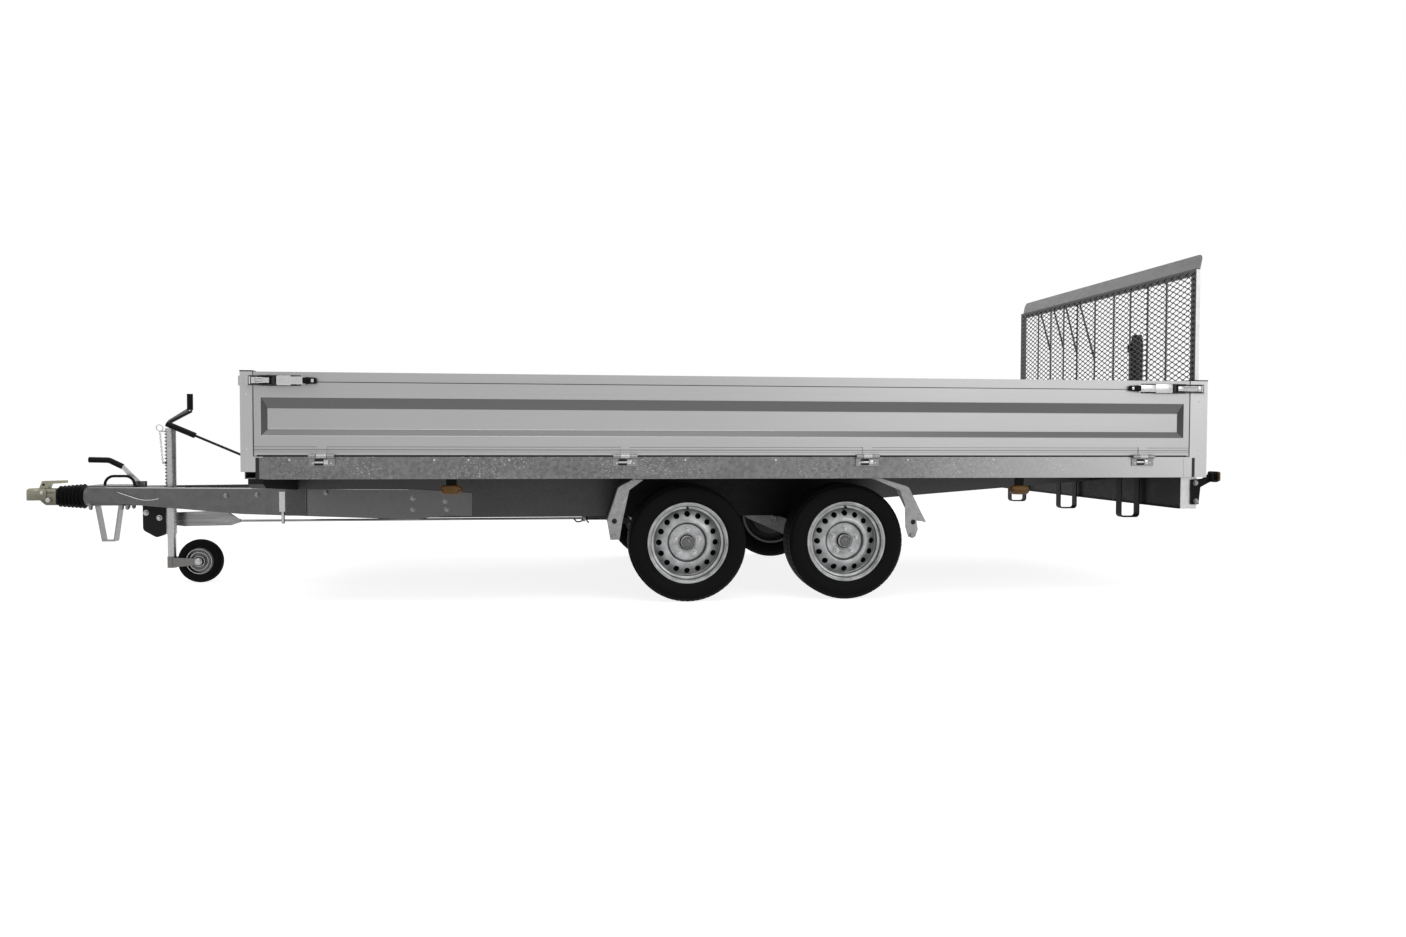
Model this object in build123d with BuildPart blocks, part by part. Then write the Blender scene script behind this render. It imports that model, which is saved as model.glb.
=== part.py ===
from build123d import *
import os
from math import atan2, degrees

os.makedirs("parts", exist_ok=True)

# Load bed, with lengths from the middle between the two axles
bed_half = 1030.0
bed_front = 2223.0
bed_rear = -2049.0
floor_top = 646.0
floor_t = 18.0
frame_low = floor_top - 94.0
frame_wall = 4.0
frame_flange = 50.0
end_depth = 60.0
side_top = floor_top + 350.0
board_t = 28.0
board_gap = 5.0
post_front = 49.0
post_rear = 85.0
post_w = 58.0
socket_front = 88.0
socket_low = floor_top - 63.0
cap_t = 5.0
hinge_out = 12.0
hinge_up = 2.0
knuckle_r = 9.0
pin_r = 4.0

# Wheels
wheelbase = 720.0
wheel_y = bed_half - 162.5
tyre_r = 262.5
tyre_w = 195.0
rim_w = 156.0
rim_seat_r = 165.7
flange_r = 181.0
rim_wall = 7.5
seat_gap = 0.3
vent_count = 16
vent_r = 13.0
vent_circle_r = 127.0
hub_hole_r = 33.0
drum_r = 125.0
stub_r = 22.0
pin_clear = 0.05

# Tail gate
gate_half = bed_half - post_w - 12.0
gate_top = floor_top + 880.0
gate_lip_top = gate_top + 68.0
gate_front = bed_rear + 22.0
gate_depth = 20.0
gate_rail = 40.0
gate_top_rail = 30.0
gate_hinge_x = bed_rear - 13.0
gate_hinge_z = floor_top - 6.0
gate_bar_w = 9.0
gate_bar_t = 6.0
mesh_long = 62.0
mesh_short = 26.0
mesh_bar = 3.0
mesh_t = 2.5

# Chassis
beam_y = 375.0
beam_wall = 5.0
beam_flange = 50.0
bend_x = 1620.0
beam_front = bend_x - 20.0
beam_nose = bed_front - 73.0
drawbar_front = 3210.0
drawbar_top = frame_low - 74.0
drawbar_nose_y = 62.0
drawbar_flange = 30.0
drawbar_end = bend_x - 278.0
beam_low = drawbar_top - 138.0
axle_lead = 150.0
axle_tube = 80.0
axle_pad = 5.0
arm_t = 35.0
arm_gap = 8.0
tail_front = bed_rear + 109.0
tail_depth = 80.0
tail_low = frame_low - 147.0
tail_half = bed_half - 30.0
lamp_out = 94.0

# Coupling and drawbar gear
coupling_z = drawbar_top - 48.0
ball_r = 25.5
bellows_back = drawbar_front + 27.0
bellows_front = bellows_back + 128.0
coupling_reach = 146.0
housing_half = 31.5
housing_low = drawbar_top - 93.0
housing_back = drawbar_front - 340.0
plate_t = 8.0
linkage_y = -45.0
linkage_t = 24.0
rod_r = 6.0
rod_z = housing_low - 85.0

# Jockey wheel
jockey_x = drawbar_front - 380.0
jockey_y = 35.0
jockey_tube_r = 24.0
jockey_leg_r = 20.0
jockey_tube_low = 244.0
jockey_tube_top = drawbar_top + 275.0
jockey_leg_low = 132.0
jockey_trail = 136.0
jockey_wheel_r = 108.0
jockey_wheel_w = 60.0
fork_gap = 5.0
fork_t = 5.0
swivel_pin_r = 10.0
jockey_axle_r = 8.0

# Reach of the whole trailer, which puts its middle at the origin
front_reach = bellows_front + coupling_reach
lamp_tip = bed_rear - lamp_out
axle_mid_x = -(front_reach + lamp_tip) / 2

corner = (Align.MIN, Align.MIN, Align.MIN)
pieces = {}


def at(x, y=0.0, z=0.0):
    return (axle_mid_x + x, y, z)


def side_plane(y):
    return Plane(origin=at(0, y), x_dir=(1, 0, 0), z_dir=(0, -1, 0))


def cross_plane(x):
    return Plane(origin=at(x), x_dir=(0, 1, 0), z_dir=(1, 0, 0))


def block(x0, x1, y0, y1, z0, z1, mode=Mode.ADD):
    with Locations(at(min(x0, x1), min(y0, y1), min(z0, z1))):
        Box(abs(x1 - x0), abs(y1 - y0), abs(z1 - z0), align=corner, mode=mode)


def plate(plane, points, amount, mode=Mode.ADD):
    with BuildSketch(plane) as outline:
        with BuildLine():
            Polyline(*points, close=True)
        make_face()
    extrude(outline.sketch, amount=amount, mode=mode)


def rod(start, end, radius, mode=Mode.ADD):
    run = Vector(*end) - Vector(*start)
    with BuildSketch(Plane(origin=start, z_dir=run)) as section:
        Circle(radius)
    extrude(section.sketch, amount=run.length, mode=mode)


# Road wheels: tyre, and pressed rim with a ring of round vents, bolted to its hub and drum
wheel_table = (
    ("front_left", wheelbase / 2, 1),
    ("front_right", wheelbase / 2, -1),
    ("rear_left", -wheelbase / 2, 1),
    ("rear_right", -wheelbase / 2, -1),
)
half_rim = rim_w / 2
bead = half_rim - 6.0
hub_face = 26.0
drum_back = -58.0
stub_end = -6.0
for name, wheel_x, hand in wheel_table:
    hub = Plane(origin=at(wheel_x, hand * wheel_y, tyre_r), x_dir=(0, hand, 0), z_dir=(hand, 0, 0))
    face = Plane(origin=hub.origin, x_dir=(1, 0, 0), z_dir=(0, hand, 0))
    spin = Axis(hub.origin, hub.x_dir)
    seat = rim_seat_r + seat_gap
    bulge = tyre_w / 2
    with BuildPart() as tyre:
        with BuildSketch(hub):
            with BuildLine():
                Polyline((bead, flange_r + 2), (bead, seat), (-bead, seat), (-bead, flange_r + 2))
                Line((-bead, flange_r + 2), (-bead - 8, flange_r + 2.5))
                low = (bead + 8, flange_r + 2.5)
                side = (bulge, tyre_r - 46)
                shoulder = (bulge - 12, tyre_r - 12)
                edge = (bulge - 17, tyre_r - 5)
                crown = (bulge - 25, tyre_r - 2)
                ThreePointArc((-low[0], low[1]), (-side[0], side[1]), (-shoulder[0], shoulder[1]))
                ThreePointArc((-shoulder[0], shoulder[1]), (-edge[0], edge[1]), (-crown[0], crown[1]))
                ThreePointArc((-crown[0], crown[1]), (0, tyre_r), crown)
                ThreePointArc(crown, edge, shoulder)
                ThreePointArc(shoulder, side, low)
                Line((bead + 8, flange_r + 2.5), (bead, flange_r + 2))
            make_face()
        revolve(axis=spin)
    with BuildPart() as rim:
        with BuildSketch(hub):
            with BuildLine():
                inner = rim_seat_r - rim_wall
                lip = bead + seat_gap
                Polyline(
                    (-half_rim, inner),
                    (half_rim, inner),
                    (half_rim, flange_r),
                    (lip, flange_r),
                    (lip, rim_seat_r),
                    (-lip, rim_seat_r),
                    (-lip, flange_r),
                    (-half_rim, flange_r),
                    close=True,
                )
            make_face()
        revolve(axis=spin)
        with BuildSketch(hub):
            with BuildLine():
                Polyline(
                    (hub_face, hub_hole_r),
                    (hub_face + 6, hub_hole_r),
                    (hub_face + 6, 84),
                    (hub_face + 20, 95),
                    (hub_face + 24, 106),
                    (hub_face + 2, 147),
                    (hub_face, inner + 2),
                    (hub_face - 7, inner + 2),
                    (hub_face - 5, 146),
                    (hub_face + 17, 105),
                    (hub_face + 14, 98),
                    (hub_face, 87),
                    close=True,
                )
            make_face()
        revolve(axis=spin)
        with BuildSketch(face):
            with PolarLocations(vent_circle_r, vent_count):
                Circle(vent_r)
        extrude(amount=half_rim, mode=Mode.SUBTRACT)
        with BuildSketch(hub):
            with BuildLine():
                Polyline(
                    (drum_back, stub_r + pin_clear),
                    (drum_back, drum_r),
                    (2, drum_r),
                    (10, drum_r - 8),
                    (10, 80),
                    (hub_face, 80),
                    (hub_face, hub_hole_r - 3),
                    (hub_face + 22, hub_hole_r - 3),
                    (hub_face + 26, hub_hole_r - 8),
                    (hub_face + 26, 0),
                    (stub_end + 1, 0),
                    (stub_end + 1, stub_r + pin_clear),
                    close=True,
                )
            make_face()
        revolve(axis=spin)
    pieces["tyre_" + name] = tyre
    pieces["rim_" + name] = rim

# Rubber-sprung axles: square tubes with cable anchor, trailing arms, stub shafts and brake back plates
arm_out = wheel_y - tyre_w / 2 - arm_gap
arm_in = arm_out - arm_t
tube_z = beam_low - axle_pad - axle_tube / 2
anchor_x = wheelbase / 2 + axle_lead + axle_tube / 2
with BuildPart() as axles:
    block(anchor_x, anchor_x + 60, linkage_y - 95, linkage_y + 95, rod_z - 24, rod_z + 10)
    for axle_x in (wheelbase / 2, -wheelbase / 2):
        tube_x = axle_x + axle_lead
        half = axle_tube / 2
        block(tube_x - half, tube_x + half, -arm_in, arm_in, tube_z - half, tube_z + half)
        for hand in (1, -1):
            pad_y = hand * (beam_y - beam_flange / 2)
            block(tube_x - 75, tube_x + 75, pad_y - 40, pad_y + 40, beam_low - axle_pad, beam_low)
            with BuildSketch(side_plane(arm_out if hand > 0 else -arm_in)):
                with Locations((tube_x, tube_z)):
                    Circle(half + 6)
                with Locations((axle_x, tyre_r)):
                    Circle(stub_r + 18)
                make_hull()
            extrude(amount=arm_t)
            stub_y = wheel_y + stub_end
            plate_y = wheel_y + drum_back - 12
            plate_end = plate_y + plate_t
            rod(at(axle_x, hand * arm_out, tyre_r), at(axle_x, hand * stub_y, tyre_r), stub_r)
            rod(at(axle_x, hand * plate_y, tyre_r), at(axle_x, hand * plate_end, tyre_r), drum_r - 3)
pieces["axles"] = axles

# Longitudinal chassis beams, shallow over the drawbar, deep over the axles and rising to the rear
beam_side = (
    (beam_nose, frame_low),
    (beam_nose, drawbar_top),
    (beam_front, drawbar_top),
    (beam_front, beam_low),
    (-450, beam_low),
    (-700, frame_low - 127),
    (tail_front, frame_low - 32),
    (tail_front, frame_low),
)
with BuildPart() as chassis_beams:
    plate(side_plane(beam_y), beam_side, beam_flange)
    with BuildSketch(side_plane(beam_y - beam_wall)):
        with BuildLine():
            Polyline(*beam_side, close=True)
        make_face()
        offset(amount=-beam_wall, mode=Mode.REPLACE)
    extrude(amount=beam_flange, mode=Mode.SUBTRACT)
    mirror(about=Plane.XZ)
pieces["chassis_beams"] = chassis_beams

# V drawbar: two channel beams that meet at the coupling and run on as plates beside the longitudinal beams,
# with splice plates and rod hooks on their outer faces
drawbar_y = beam_y + beam_wall
slope = (drawbar_nose_y - drawbar_y) / (drawbar_front - bend_x)
along = Vector(1, slope, 0).normalized()
stretch = Vector(1, slope, 0).length
drawbar_plane = Plane(origin=at(bend_x, drawbar_y), x_dir=along, z_dir=Vector(0, 0, 1).cross(along) * -1)


def drawbar_out(x):
    return drawbar_y + slope * (x - bend_x)


drawbar_side = tuple(
    ((x - bend_x) * stretch, z)
    for x, z in (
        (bend_x, drawbar_top),
        (drawbar_front, drawbar_top),
        (drawbar_front, drawbar_top - 68),
        (bend_x + 830, drawbar_top - 126),
        (bend_x, drawbar_top - 146),
    )
)
splice_t = 6.0
splice_table = ((512, 612, 132, 4), (612, 642, 114, 16), (618, 632, 170, 114))
with BuildPart() as drawbar:
    plate(drawbar_plane, drawbar_side, drawbar_flange)
    with BuildSketch(drawbar_plane.offset(beam_wall)):
        with BuildLine():
            Polyline(*drawbar_side, close=True)
        make_face()
        offset(amount=-beam_wall, mode=Mode.REPLACE)
    extrude(amount=drawbar_flange, mode=Mode.SUBTRACT)
    plate(
        side_plane(drawbar_y),
        (
            (bend_x, drawbar_top),
            (drawbar_end, drawbar_top - 20),
            (drawbar_end, beam_low + 7),
            (bend_x - 170, beam_low + 10),
            (bend_x, drawbar_top - 146),
        ),
        beam_wall,
    )
    for from_bend, to_bend, low_drop, top_drop in splice_table:
        x0 = from_bend * stretch
        x1 = to_bend * stretch
        z0 = drawbar_top - low_drop
        z1 = drawbar_top - top_drop
        plate(drawbar_plane.offset(-splice_t), ((x0, z0), (x1, z0), (x1, z1), (x0, z1)), splice_t)
    mirror(about=Plane.XZ)
pieces["drawbar"] = drawbar

# Bed frame: side beams, end beams, cross members, rear bumper member and front bolster
inner_half = bed_half - frame_flange
side_front = bed_front - socket_front
side_rear = bed_rear + post_rear
end_half = bed_half - post_w
with BuildPart() as bed_beams:
    block(side_rear, side_front, inner_half, bed_half, frame_low, floor_top)
    block(
        side_rear, side_front, inner_half, bed_half - frame_wall,
        frame_low + frame_wall, floor_top - frame_wall, Mode.SUBTRACT,
    )
    mirror(about=Plane.XZ)
    for outer, inner in ((bed_front, bed_front - end_depth), (bed_rear, bed_rear + end_depth)):
        skin = frame_wall if outer > 0 else -frame_wall
        block(inner, outer, -end_half, end_half, frame_low, floor_top)
        block(
            inner, outer - skin, -end_half, end_half,
            frame_low + frame_wall, floor_top - frame_wall, Mode.SUBTRACT,
        )
pieces["bed_beams"] = bed_beams

cross_w = 50.0
cross_count = 9
cross_front = bed_front - 143
cross_rear = tail_front + 52
cross_step = (cross_front - cross_rear) / (cross_count - 1)
with BuildPart() as cross_members:
    for i in range(cross_count):
        cross_x = cross_front - i * cross_step
        block(
            cross_x - cross_w / 2, cross_x + cross_w / 2, -inner_half, inner_half,
            frame_low, floor_top - floor_t,
        )
        block(
            cross_x - cross_w / 2 + frame_wall, cross_x + cross_w / 2, -inner_half, inner_half,
            frame_low + frame_wall, floor_top - floor_t - frame_wall, Mode.SUBTRACT,
        )
pieces["cross_members"] = cross_members

with BuildPart() as floor_board:
    block(
        bed_rear + end_depth, bed_front - end_depth, -inner_half + 2, inner_half - 2,
        floor_top - floor_t, floor_top,
    )
    for x0, x1 in ((bed_front - socket_front - 1, bed_front), (bed_rear, bed_rear + post_rear + 1)):
        for hand in (1, -1):
            block(
                x0, x1, hand * (end_half - 1), hand * bed_half,
                floor_top - floor_t, floor_top, Mode.SUBTRACT,
            )
pieces["floor_board"] = floor_board

bolster_depth = 60.0
bolster_face = beam_nose + bolster_depth
bolster_low = frame_low - 42.0
with BuildPart() as bolster:
    with BuildSketch(cross_plane(bolster_face - bolster_depth)):
        with BuildLine():
            Polyline(
                (-end_half, frame_low),
                (end_half, frame_low),
                (end_half, bolster_low + 20),
                (end_half - 50, bolster_low),
                (beam_y + 20, drawbar_top),
                (-beam_y - 20, drawbar_top),
                (50 - end_half, bolster_low),
                (-end_half, bolster_low + 20),
                close=True,
            )
        make_face()
    extrude(amount=bolster_depth)
pieces["bolster"] = bolster

tail_rear = tail_front - tail_depth
with BuildPart() as tail_beam:
    block(tail_rear, tail_front, -tail_half, tail_half, tail_low, frame_low)
    block(
        tail_rear + frame_wall, tail_front - frame_wall, -tail_half + frame_wall, tail_half - frame_wall,
        tail_low + frame_wall, frame_low - frame_wall, Mode.SUBTRACT,
    )
    block(tail_front, tail_front + 12, -tail_half, tail_half, tail_low, tail_low + frame_wall)
pieces["tail_beam"] = tail_beam

# Three closed hoops under the rear of the bed
hoop_x = tail_front + 64
hoop_w = 100.0
hoop_low = frame_low - 212
hoop_half = bed_half - 380
hoop_t = 6.0
hoop_depth = 46.0
with BuildPart() as hoops:
    for hoop_y in (-hoop_half, 0, hoop_half):
        with BuildSketch(side_plane(hoop_y + hoop_depth / 2)):
            with Locations((hoop_x, (hoop_low + frame_low) / 2)):
                RectangleRounded(hoop_w, frame_low - hoop_low, 20)
                RectangleRounded(
                    hoop_w - 2 * hoop_t, frame_low - hoop_low - 2 * hoop_t, 20 - hoop_t, mode=Mode.SUBTRACT
                )
        extrude(amount=hoop_depth)
pieces["hoops"] = hoops

# Corner posts: table of their uprights and sockets, and the caps on top
post_table = (
    ("front_left", bed_front - post_front, bed_front, bed_front - socket_front, bed_front, socket_low, 1),
    ("front_right", bed_front - post_front, bed_front, bed_front - socket_front, bed_front, socket_low, -1),
    ("rear_left", bed_rear, bed_rear + post_rear, bed_rear, bed_rear + post_rear, frame_low, 1),
    ("rear_right", bed_rear, bed_rear + post_rear, bed_rear, bed_rear + post_rear, frame_low, -1),
)
with BuildPart() as post_caps:
    for name, x0, x1, low_x0, low_x1, low_z, hand in post_table:
        block(x0 - 1, x1 + 1, hand * end_half, hand * bed_half, side_top, side_top + cap_t)
pieces["post_caps"] = post_caps

# Drop sides and front board: hollow-look aluminium boards with a sunk, sloping field
board_low = floor_top + board_gap
board_h = side_top - board_low
field_top = board_low + 0.70 * board_h
field_in_top = board_low + 0.556 * board_h
field_in_low = board_low + 0.32 * board_h
field_low = board_low + 0.235 * board_h
field_sink = 16.0
end_strip = 26.0
seam_w = 2.0
seam_d = 1.5
seam_heights = (side_top - 41, board_low + 36)
hinge_half = 52.0
hinge_mid = 20.0
hinge_slack = 2.0
leaf_t = 4.0
leaf_top = board_low + 39
plate_low = floor_top - 40
hinge_y = bed_half + hinge_out
hinge_z = floor_top + hinge_up
side_hinges = (bed_front - 323, 644.0, -428.0, bed_rear + 319)
board_x0 = bed_rear + post_rear + board_gap
board_x1 = bed_front - post_front - board_gap
with BuildPart() as board_left:
    block(board_x0, board_x1, bed_half - board_t, bed_half, board_low, side_top)
    for depth, top, low, inset in (
        (0.0, field_top, field_low, end_strip),
        (field_sink, field_in_top, field_in_low, 2 * end_strip),
    ):
        with BuildSketch(side_plane(bed_half - depth)):
            with Locations(((board_x0 + board_x1) / 2, (top + low) / 2)):
                Rectangle(board_x1 - board_x0 - 2 * inset, top - low)
    loft(mode=Mode.SUBTRACT)
    for seam in seam_heights:
        block(
            board_x0, board_x1, bed_half - seam_d, bed_half,
            seam - seam_w / 2, seam + seam_w / 2, Mode.SUBTRACT,
        )
    for hinge_x in side_hinges:
        block(hinge_x - hinge_mid, hinge_x + hinge_mid, bed_half, bed_half + leaf_t, board_low, leaf_top)
        block(hinge_x - hinge_mid, hinge_x + hinge_mid, bed_half, hinge_y, board_low, hinge_z + knuckle_r)
        rod(at(hinge_x - hinge_mid, hinge_y, hinge_z), at(hinge_x + hinge_mid, hinge_y, hinge_z), knuckle_r)
        rod(
            at(hinge_x - hinge_mid, hinge_y, hinge_z), at(hinge_x + hinge_mid, hinge_y, hinge_z),
            pin_r + pin_clear, Mode.SUBTRACT,
        )
with BuildPart() as board_right:
    mirror(board_left.part, about=Plane.XZ)
pieces["board_left"] = board_left
pieces["board_right"] = board_right

front_half = end_half - board_gap
front_hinges = (330 - bed_half, 0.0, bed_half - 330)
front_axis_x = bed_front + hinge_out
with BuildPart() as front_board:
    block(bed_front - board_t, bed_front, -front_half, front_half, board_low, side_top)
    for depth, top, low, inset in (
        (0.0, field_top, field_low, end_strip),
        (field_sink, field_in_top, field_in_low, 2 * end_strip),
    ):
        with BuildSketch(cross_plane(bed_front - depth)):
            with Locations((0, (top + low) / 2)):
                Rectangle(2 * (front_half - inset), top - low)
    loft(mode=Mode.SUBTRACT)
    for seam in seam_heights:
        block(
            bed_front - seam_d, bed_front, -front_half, front_half,
            seam - seam_w / 2, seam + seam_w / 2, Mode.SUBTRACT,
        )
    for y in front_hinges:
        block(bed_front, bed_front + leaf_t, y - hinge_mid, y + hinge_mid, board_low, leaf_top)
        block(bed_front, front_axis_x, y - hinge_mid, y + hinge_mid, board_low, hinge_z + knuckle_r)
        rod(at(front_axis_x, y - hinge_mid, hinge_z), at(front_axis_x, y + hinge_mid, hinge_z), knuckle_r)
        rod(
            at(front_axis_x, y - hinge_mid, hinge_z), at(front_axis_x, y + hinge_mid, hinge_z),
            pin_r + pin_clear, Mode.SUBTRACT,
        )
pieces["front_board"] = front_board

# Tail gate: frame, uprights, slanted stiffeners, expanded mesh, lip, folded leg and hinges
gate_low = board_low
gate_back = gate_front - gate_depth
with BuildPart() as hinge_plates:
    for hinge_x in side_hinges:
        block(hinge_x - hinge_half, hinge_x + hinge_half, bed_half, bed_half + 6, plate_low, floor_top - 10)
        rod(at(hinge_x - hinge_half, hinge_y, hinge_z), at(hinge_x + hinge_half, hinge_y, hinge_z), pin_r)
        for hand in (1, -1):
            near = hinge_x + hand * (hinge_mid + hinge_slack)
            far = hinge_x + hand * hinge_half
            block(near, far, bed_half, bed_half + 6, plate_low, floor_top)
            rod(at(near, hinge_y, hinge_z), at(far, hinge_y, hinge_z), knuckle_r)
    mirror(about=Plane.XZ)
    for face_x, axis_x, axis_z, low in (
        (bed_front, front_axis_x, hinge_z, plate_low),
        (bed_rear, gate_hinge_x, gate_hinge_z, plate_low - 10),
    ):
        out = 6 if face_x > 0 else -6
        for y in front_hinges:
            block(face_x, face_x + out, y - hinge_half, y + hinge_half, low, axis_z - knuckle_r - 3)
            rod(at(axis_x, y - hinge_half, axis_z), at(axis_x, y + hinge_half, axis_z), pin_r)
            for hand in (1, -1):
                near = y + hand * (hinge_mid + hinge_slack)
                far = y + hand * hinge_half
                block(face_x, face_x + out, near, far, low, axis_z - 2)
                rod(at(axis_x, near, axis_z), at(axis_x, far, axis_z), knuckle_r)
pieces["hinge_plates"] = hinge_plates

bar_back = gate_front - gate_bar_t
upright_low = gate_low + gate_rail
upright_top = gate_top - gate_top_rail
upright_table = (-710, -540, -373, -205, 0, 205, 373, 540, 710)
stay_table = ((-677, -540, 270), (-501, -373, 260), (-347, -205, 310), (-178, 0, 355))
with BuildPart() as gate_frame:
    block(gate_back, gate_front, -gate_half, gate_half, gate_low, gate_top)
    block(
        gate_back, gate_front, -gate_half + gate_rail, gate_half - gate_rail,
        gate_low + gate_rail, gate_top - gate_top_rail, Mode.SUBTRACT,
    )
    for y in front_hinges:
        block(gate_back, gate_back - leaf_t, y - hinge_mid, y + hinge_mid, gate_low, leaf_top)
        block(gate_back, gate_hinge_x, y - hinge_mid, y + hinge_mid, gate_low, gate_hinge_z + knuckle_r + 6)
        start = at(gate_hinge_x, y - hinge_mid, gate_hinge_z)
        end = at(gate_hinge_x, y + hinge_mid, gate_hinge_z)
        rod(start, end, knuckle_r)
        block(gate_hinge_x - 5, gate_hinge_x + 5, y - hinge_mid, y + hinge_mid, gate_hinge_z, gate_low + 6)
        rod(start, end, pin_r + pin_clear, Mode.SUBTRACT)
    for y in upright_table:
        block(bar_back, gate_front, y - gate_bar_w / 2, y + gate_bar_w / 2, upright_low, upright_top)
    for top_y, upright_y, drop in stay_table:
        low_z = gate_top - drop
        plate(
            cross_plane(bar_back),
            (
                (top_y - 5, upright_top),
                (top_y + 5, upright_top),
                (upright_y, low_z + 10),
                (upright_y, low_z - 14),
            ),
            gate_bar_t,
        )
pieces["gate_frame"] = gate_frame

mesh_half = gate_half - 15
mesh_low = gate_low + 10
mesh_top = gate_top - 10
mesh_angle = degrees(atan2(mesh_short, mesh_long))
mesh_mid = (mesh_low + mesh_top) / 2
mesh_reach = (mesh_top - mesh_low) / 2 + mesh_half * mesh_short / mesh_long
mesh_count = int(mesh_reach / mesh_short)
with BuildPart() as gate_mesh:
    for lean, layer_x in ((1, gate_front), (-1, gate_front + mesh_t + seat_gap)):
        with BuildSketch(cross_plane(layer_x)):
            rows = [mesh_mid + i * mesh_short for i in range(1 - mesh_count, mesh_count)]
            with Locations(*[Location((0, z, 0), (0, 0, lean * mesh_angle)) for z in rows]):
                Rectangle(3 * mesh_half, mesh_bar)
            with Locations((0, mesh_mid)):
                Rectangle(2 * mesh_half, mesh_top - mesh_low, mode=Mode.INTERSECT)
        extrude(amount=mesh_t)
pieces["gate_mesh"] = gate_mesh

lip_t = 6.0
lip_lean = 14.0
with BuildPart() as gate_lip:
    plate(
        side_plane(gate_half),
        (
            (gate_back + lip_t, gate_top),
            (gate_back, gate_top),
            (gate_back - lip_lean, gate_lip_top),
            (gate_back - lip_lean + lip_t, gate_lip_top),
        ),
        2 * gate_half,
    )
    fillet(gate_lip.edges().filter_by(GeomType.LINE).group_by(SortBy.LENGTH)[0].group_by(Axis.Z)[-1], 28)
pieces["gate_lip"] = gate_lip

leg_y = 373.0
leg_half = 30.0
leg_t = 36.0
leg_low = gate_low + 49
leg_top = gate_top - 256
with BuildPart() as gate_leg:
    plate(
        cross_plane(gate_back - leaf_t - leg_t),
        (
            (leg_y - leg_half, leg_low),
            (leg_y + leg_half, leg_low),
            (leg_y + leg_half, leg_top - 45),
            (leg_y + 16, leg_top),
            (leg_y - 16, leg_top),
            (leg_y - leg_half, leg_top - 45),
        ),
        leg_t,
    )
    for foot_low, foot_top in ((leg_low + 40, leg_low + 100), (leg_top - 90, leg_top - 50)):
        block(gate_back - leaf_t, bar_back, leg_y - leg_half, leg_y + leg_half, foot_low, foot_top)
pieces["gate_leg"] = gate_leg

# Over-centre latches: steel levers with dark grips on the boards and gate; posts with the latches' keepers
latch_z = side_top - 36
latch_table = (
    ("board_left", at(board_x1, bed_half, latch_z), (-1, 0, 0), (0, 1, 0), 16, 252),
    ("board_left", at(board_x0, bed_half, latch_z), (1, 0, 0), (0, 1, 0), 60, 303),
    ("board_right", at(board_x1, -bed_half, latch_z), (-1, 0, 0), (0, -1, 0), 16, 252),
    ("board_right", at(board_x0, -bed_half, latch_z), (1, 0, 0), (0, -1, 0), 60, 303),
    ("front_board", at(bed_front, front_half, latch_z), (0, -1, 0), (1, 0, 0), 16, 252),
    ("front_board", at(bed_front, -front_half, latch_z), (0, 1, 0), (1, 0, 0), 16, 252),
    ("gate", at(bed_rear, gate_half, latch_z), (0, -1, 0), (-1, 0, 0), 22, 252),
    ("gate", at(bed_rear, -gate_half, latch_z), (0, 1, 0), (-1, 0, 0), 22, 252),
)
for board in ("board_left", "board_right", "front_board", "gate"):
    with BuildPart() as latches:
        for owner, start, run, out, over, length in latch_table:
            if owner == board:
                seat = Plane(origin=start, x_dir=run, z_dir=out)
                sunk = gate_back - bed_rear if board == "gate" else 0.0
                with Locations(seat):
                    with Locations((length / 2 - 20, 0, -sunk)):
                        Box(length - 90, 44, 4 + sunk, align=(Align.CENTER, Align.CENTER, Align.MIN))
                    with Locations((length / 2 - 30, 0, 4)):
                        Box(length - 100, 28, 14, align=(Align.CENTER, Align.CENTER, Align.MIN))
                    for lift in (-9, 9):
                        with Locations((-over, lift, 7)):
                            Box(over + 30, 7, 7, align=(Align.MIN, Align.CENTER, Align.MIN))
                    with Locations((-over, 0, 6)):
                        Box(8, 30, 10, align=(Align.MIN, Align.CENTER, Align.MIN))
    with BuildPart() as grips:
        for owner, start, run, out, over, length in latch_table:
            if owner == board:
                seat = Plane(origin=start, x_dir=run, z_dir=out)
                with BuildSketch(seat.offset(4)):
                    with Locations((length - 40, 0)):
                        RectangleRounded(80, 30, 10)
                extrude(amount=18)
    pieces["latches_" + board] = latches
    pieces["grips_" + board] = grips

keeper_gap = 1.5
with BuildPart() as corner_posts:
    for name, x0, x1, low_x0, low_x1, low_z, hand in post_table:
        block(x0, x1, hand * end_half, hand * bed_half, floor_top, side_top)
        block(low_x0, low_x1, hand * end_half, hand * bed_half, low_z, floor_top)
    for owner, start, run, out, over, length in latch_table:
        seat = Plane(origin=start, x_dir=run, z_dir=out)
        with Locations(seat):
            with Locations((-over - keeper_gap, 0, 0)):
                Box(12, 40, 16, align=(Align.MAX, Align.CENTER, Align.MIN))
pieces["corner_posts"] = corner_posts

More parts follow.
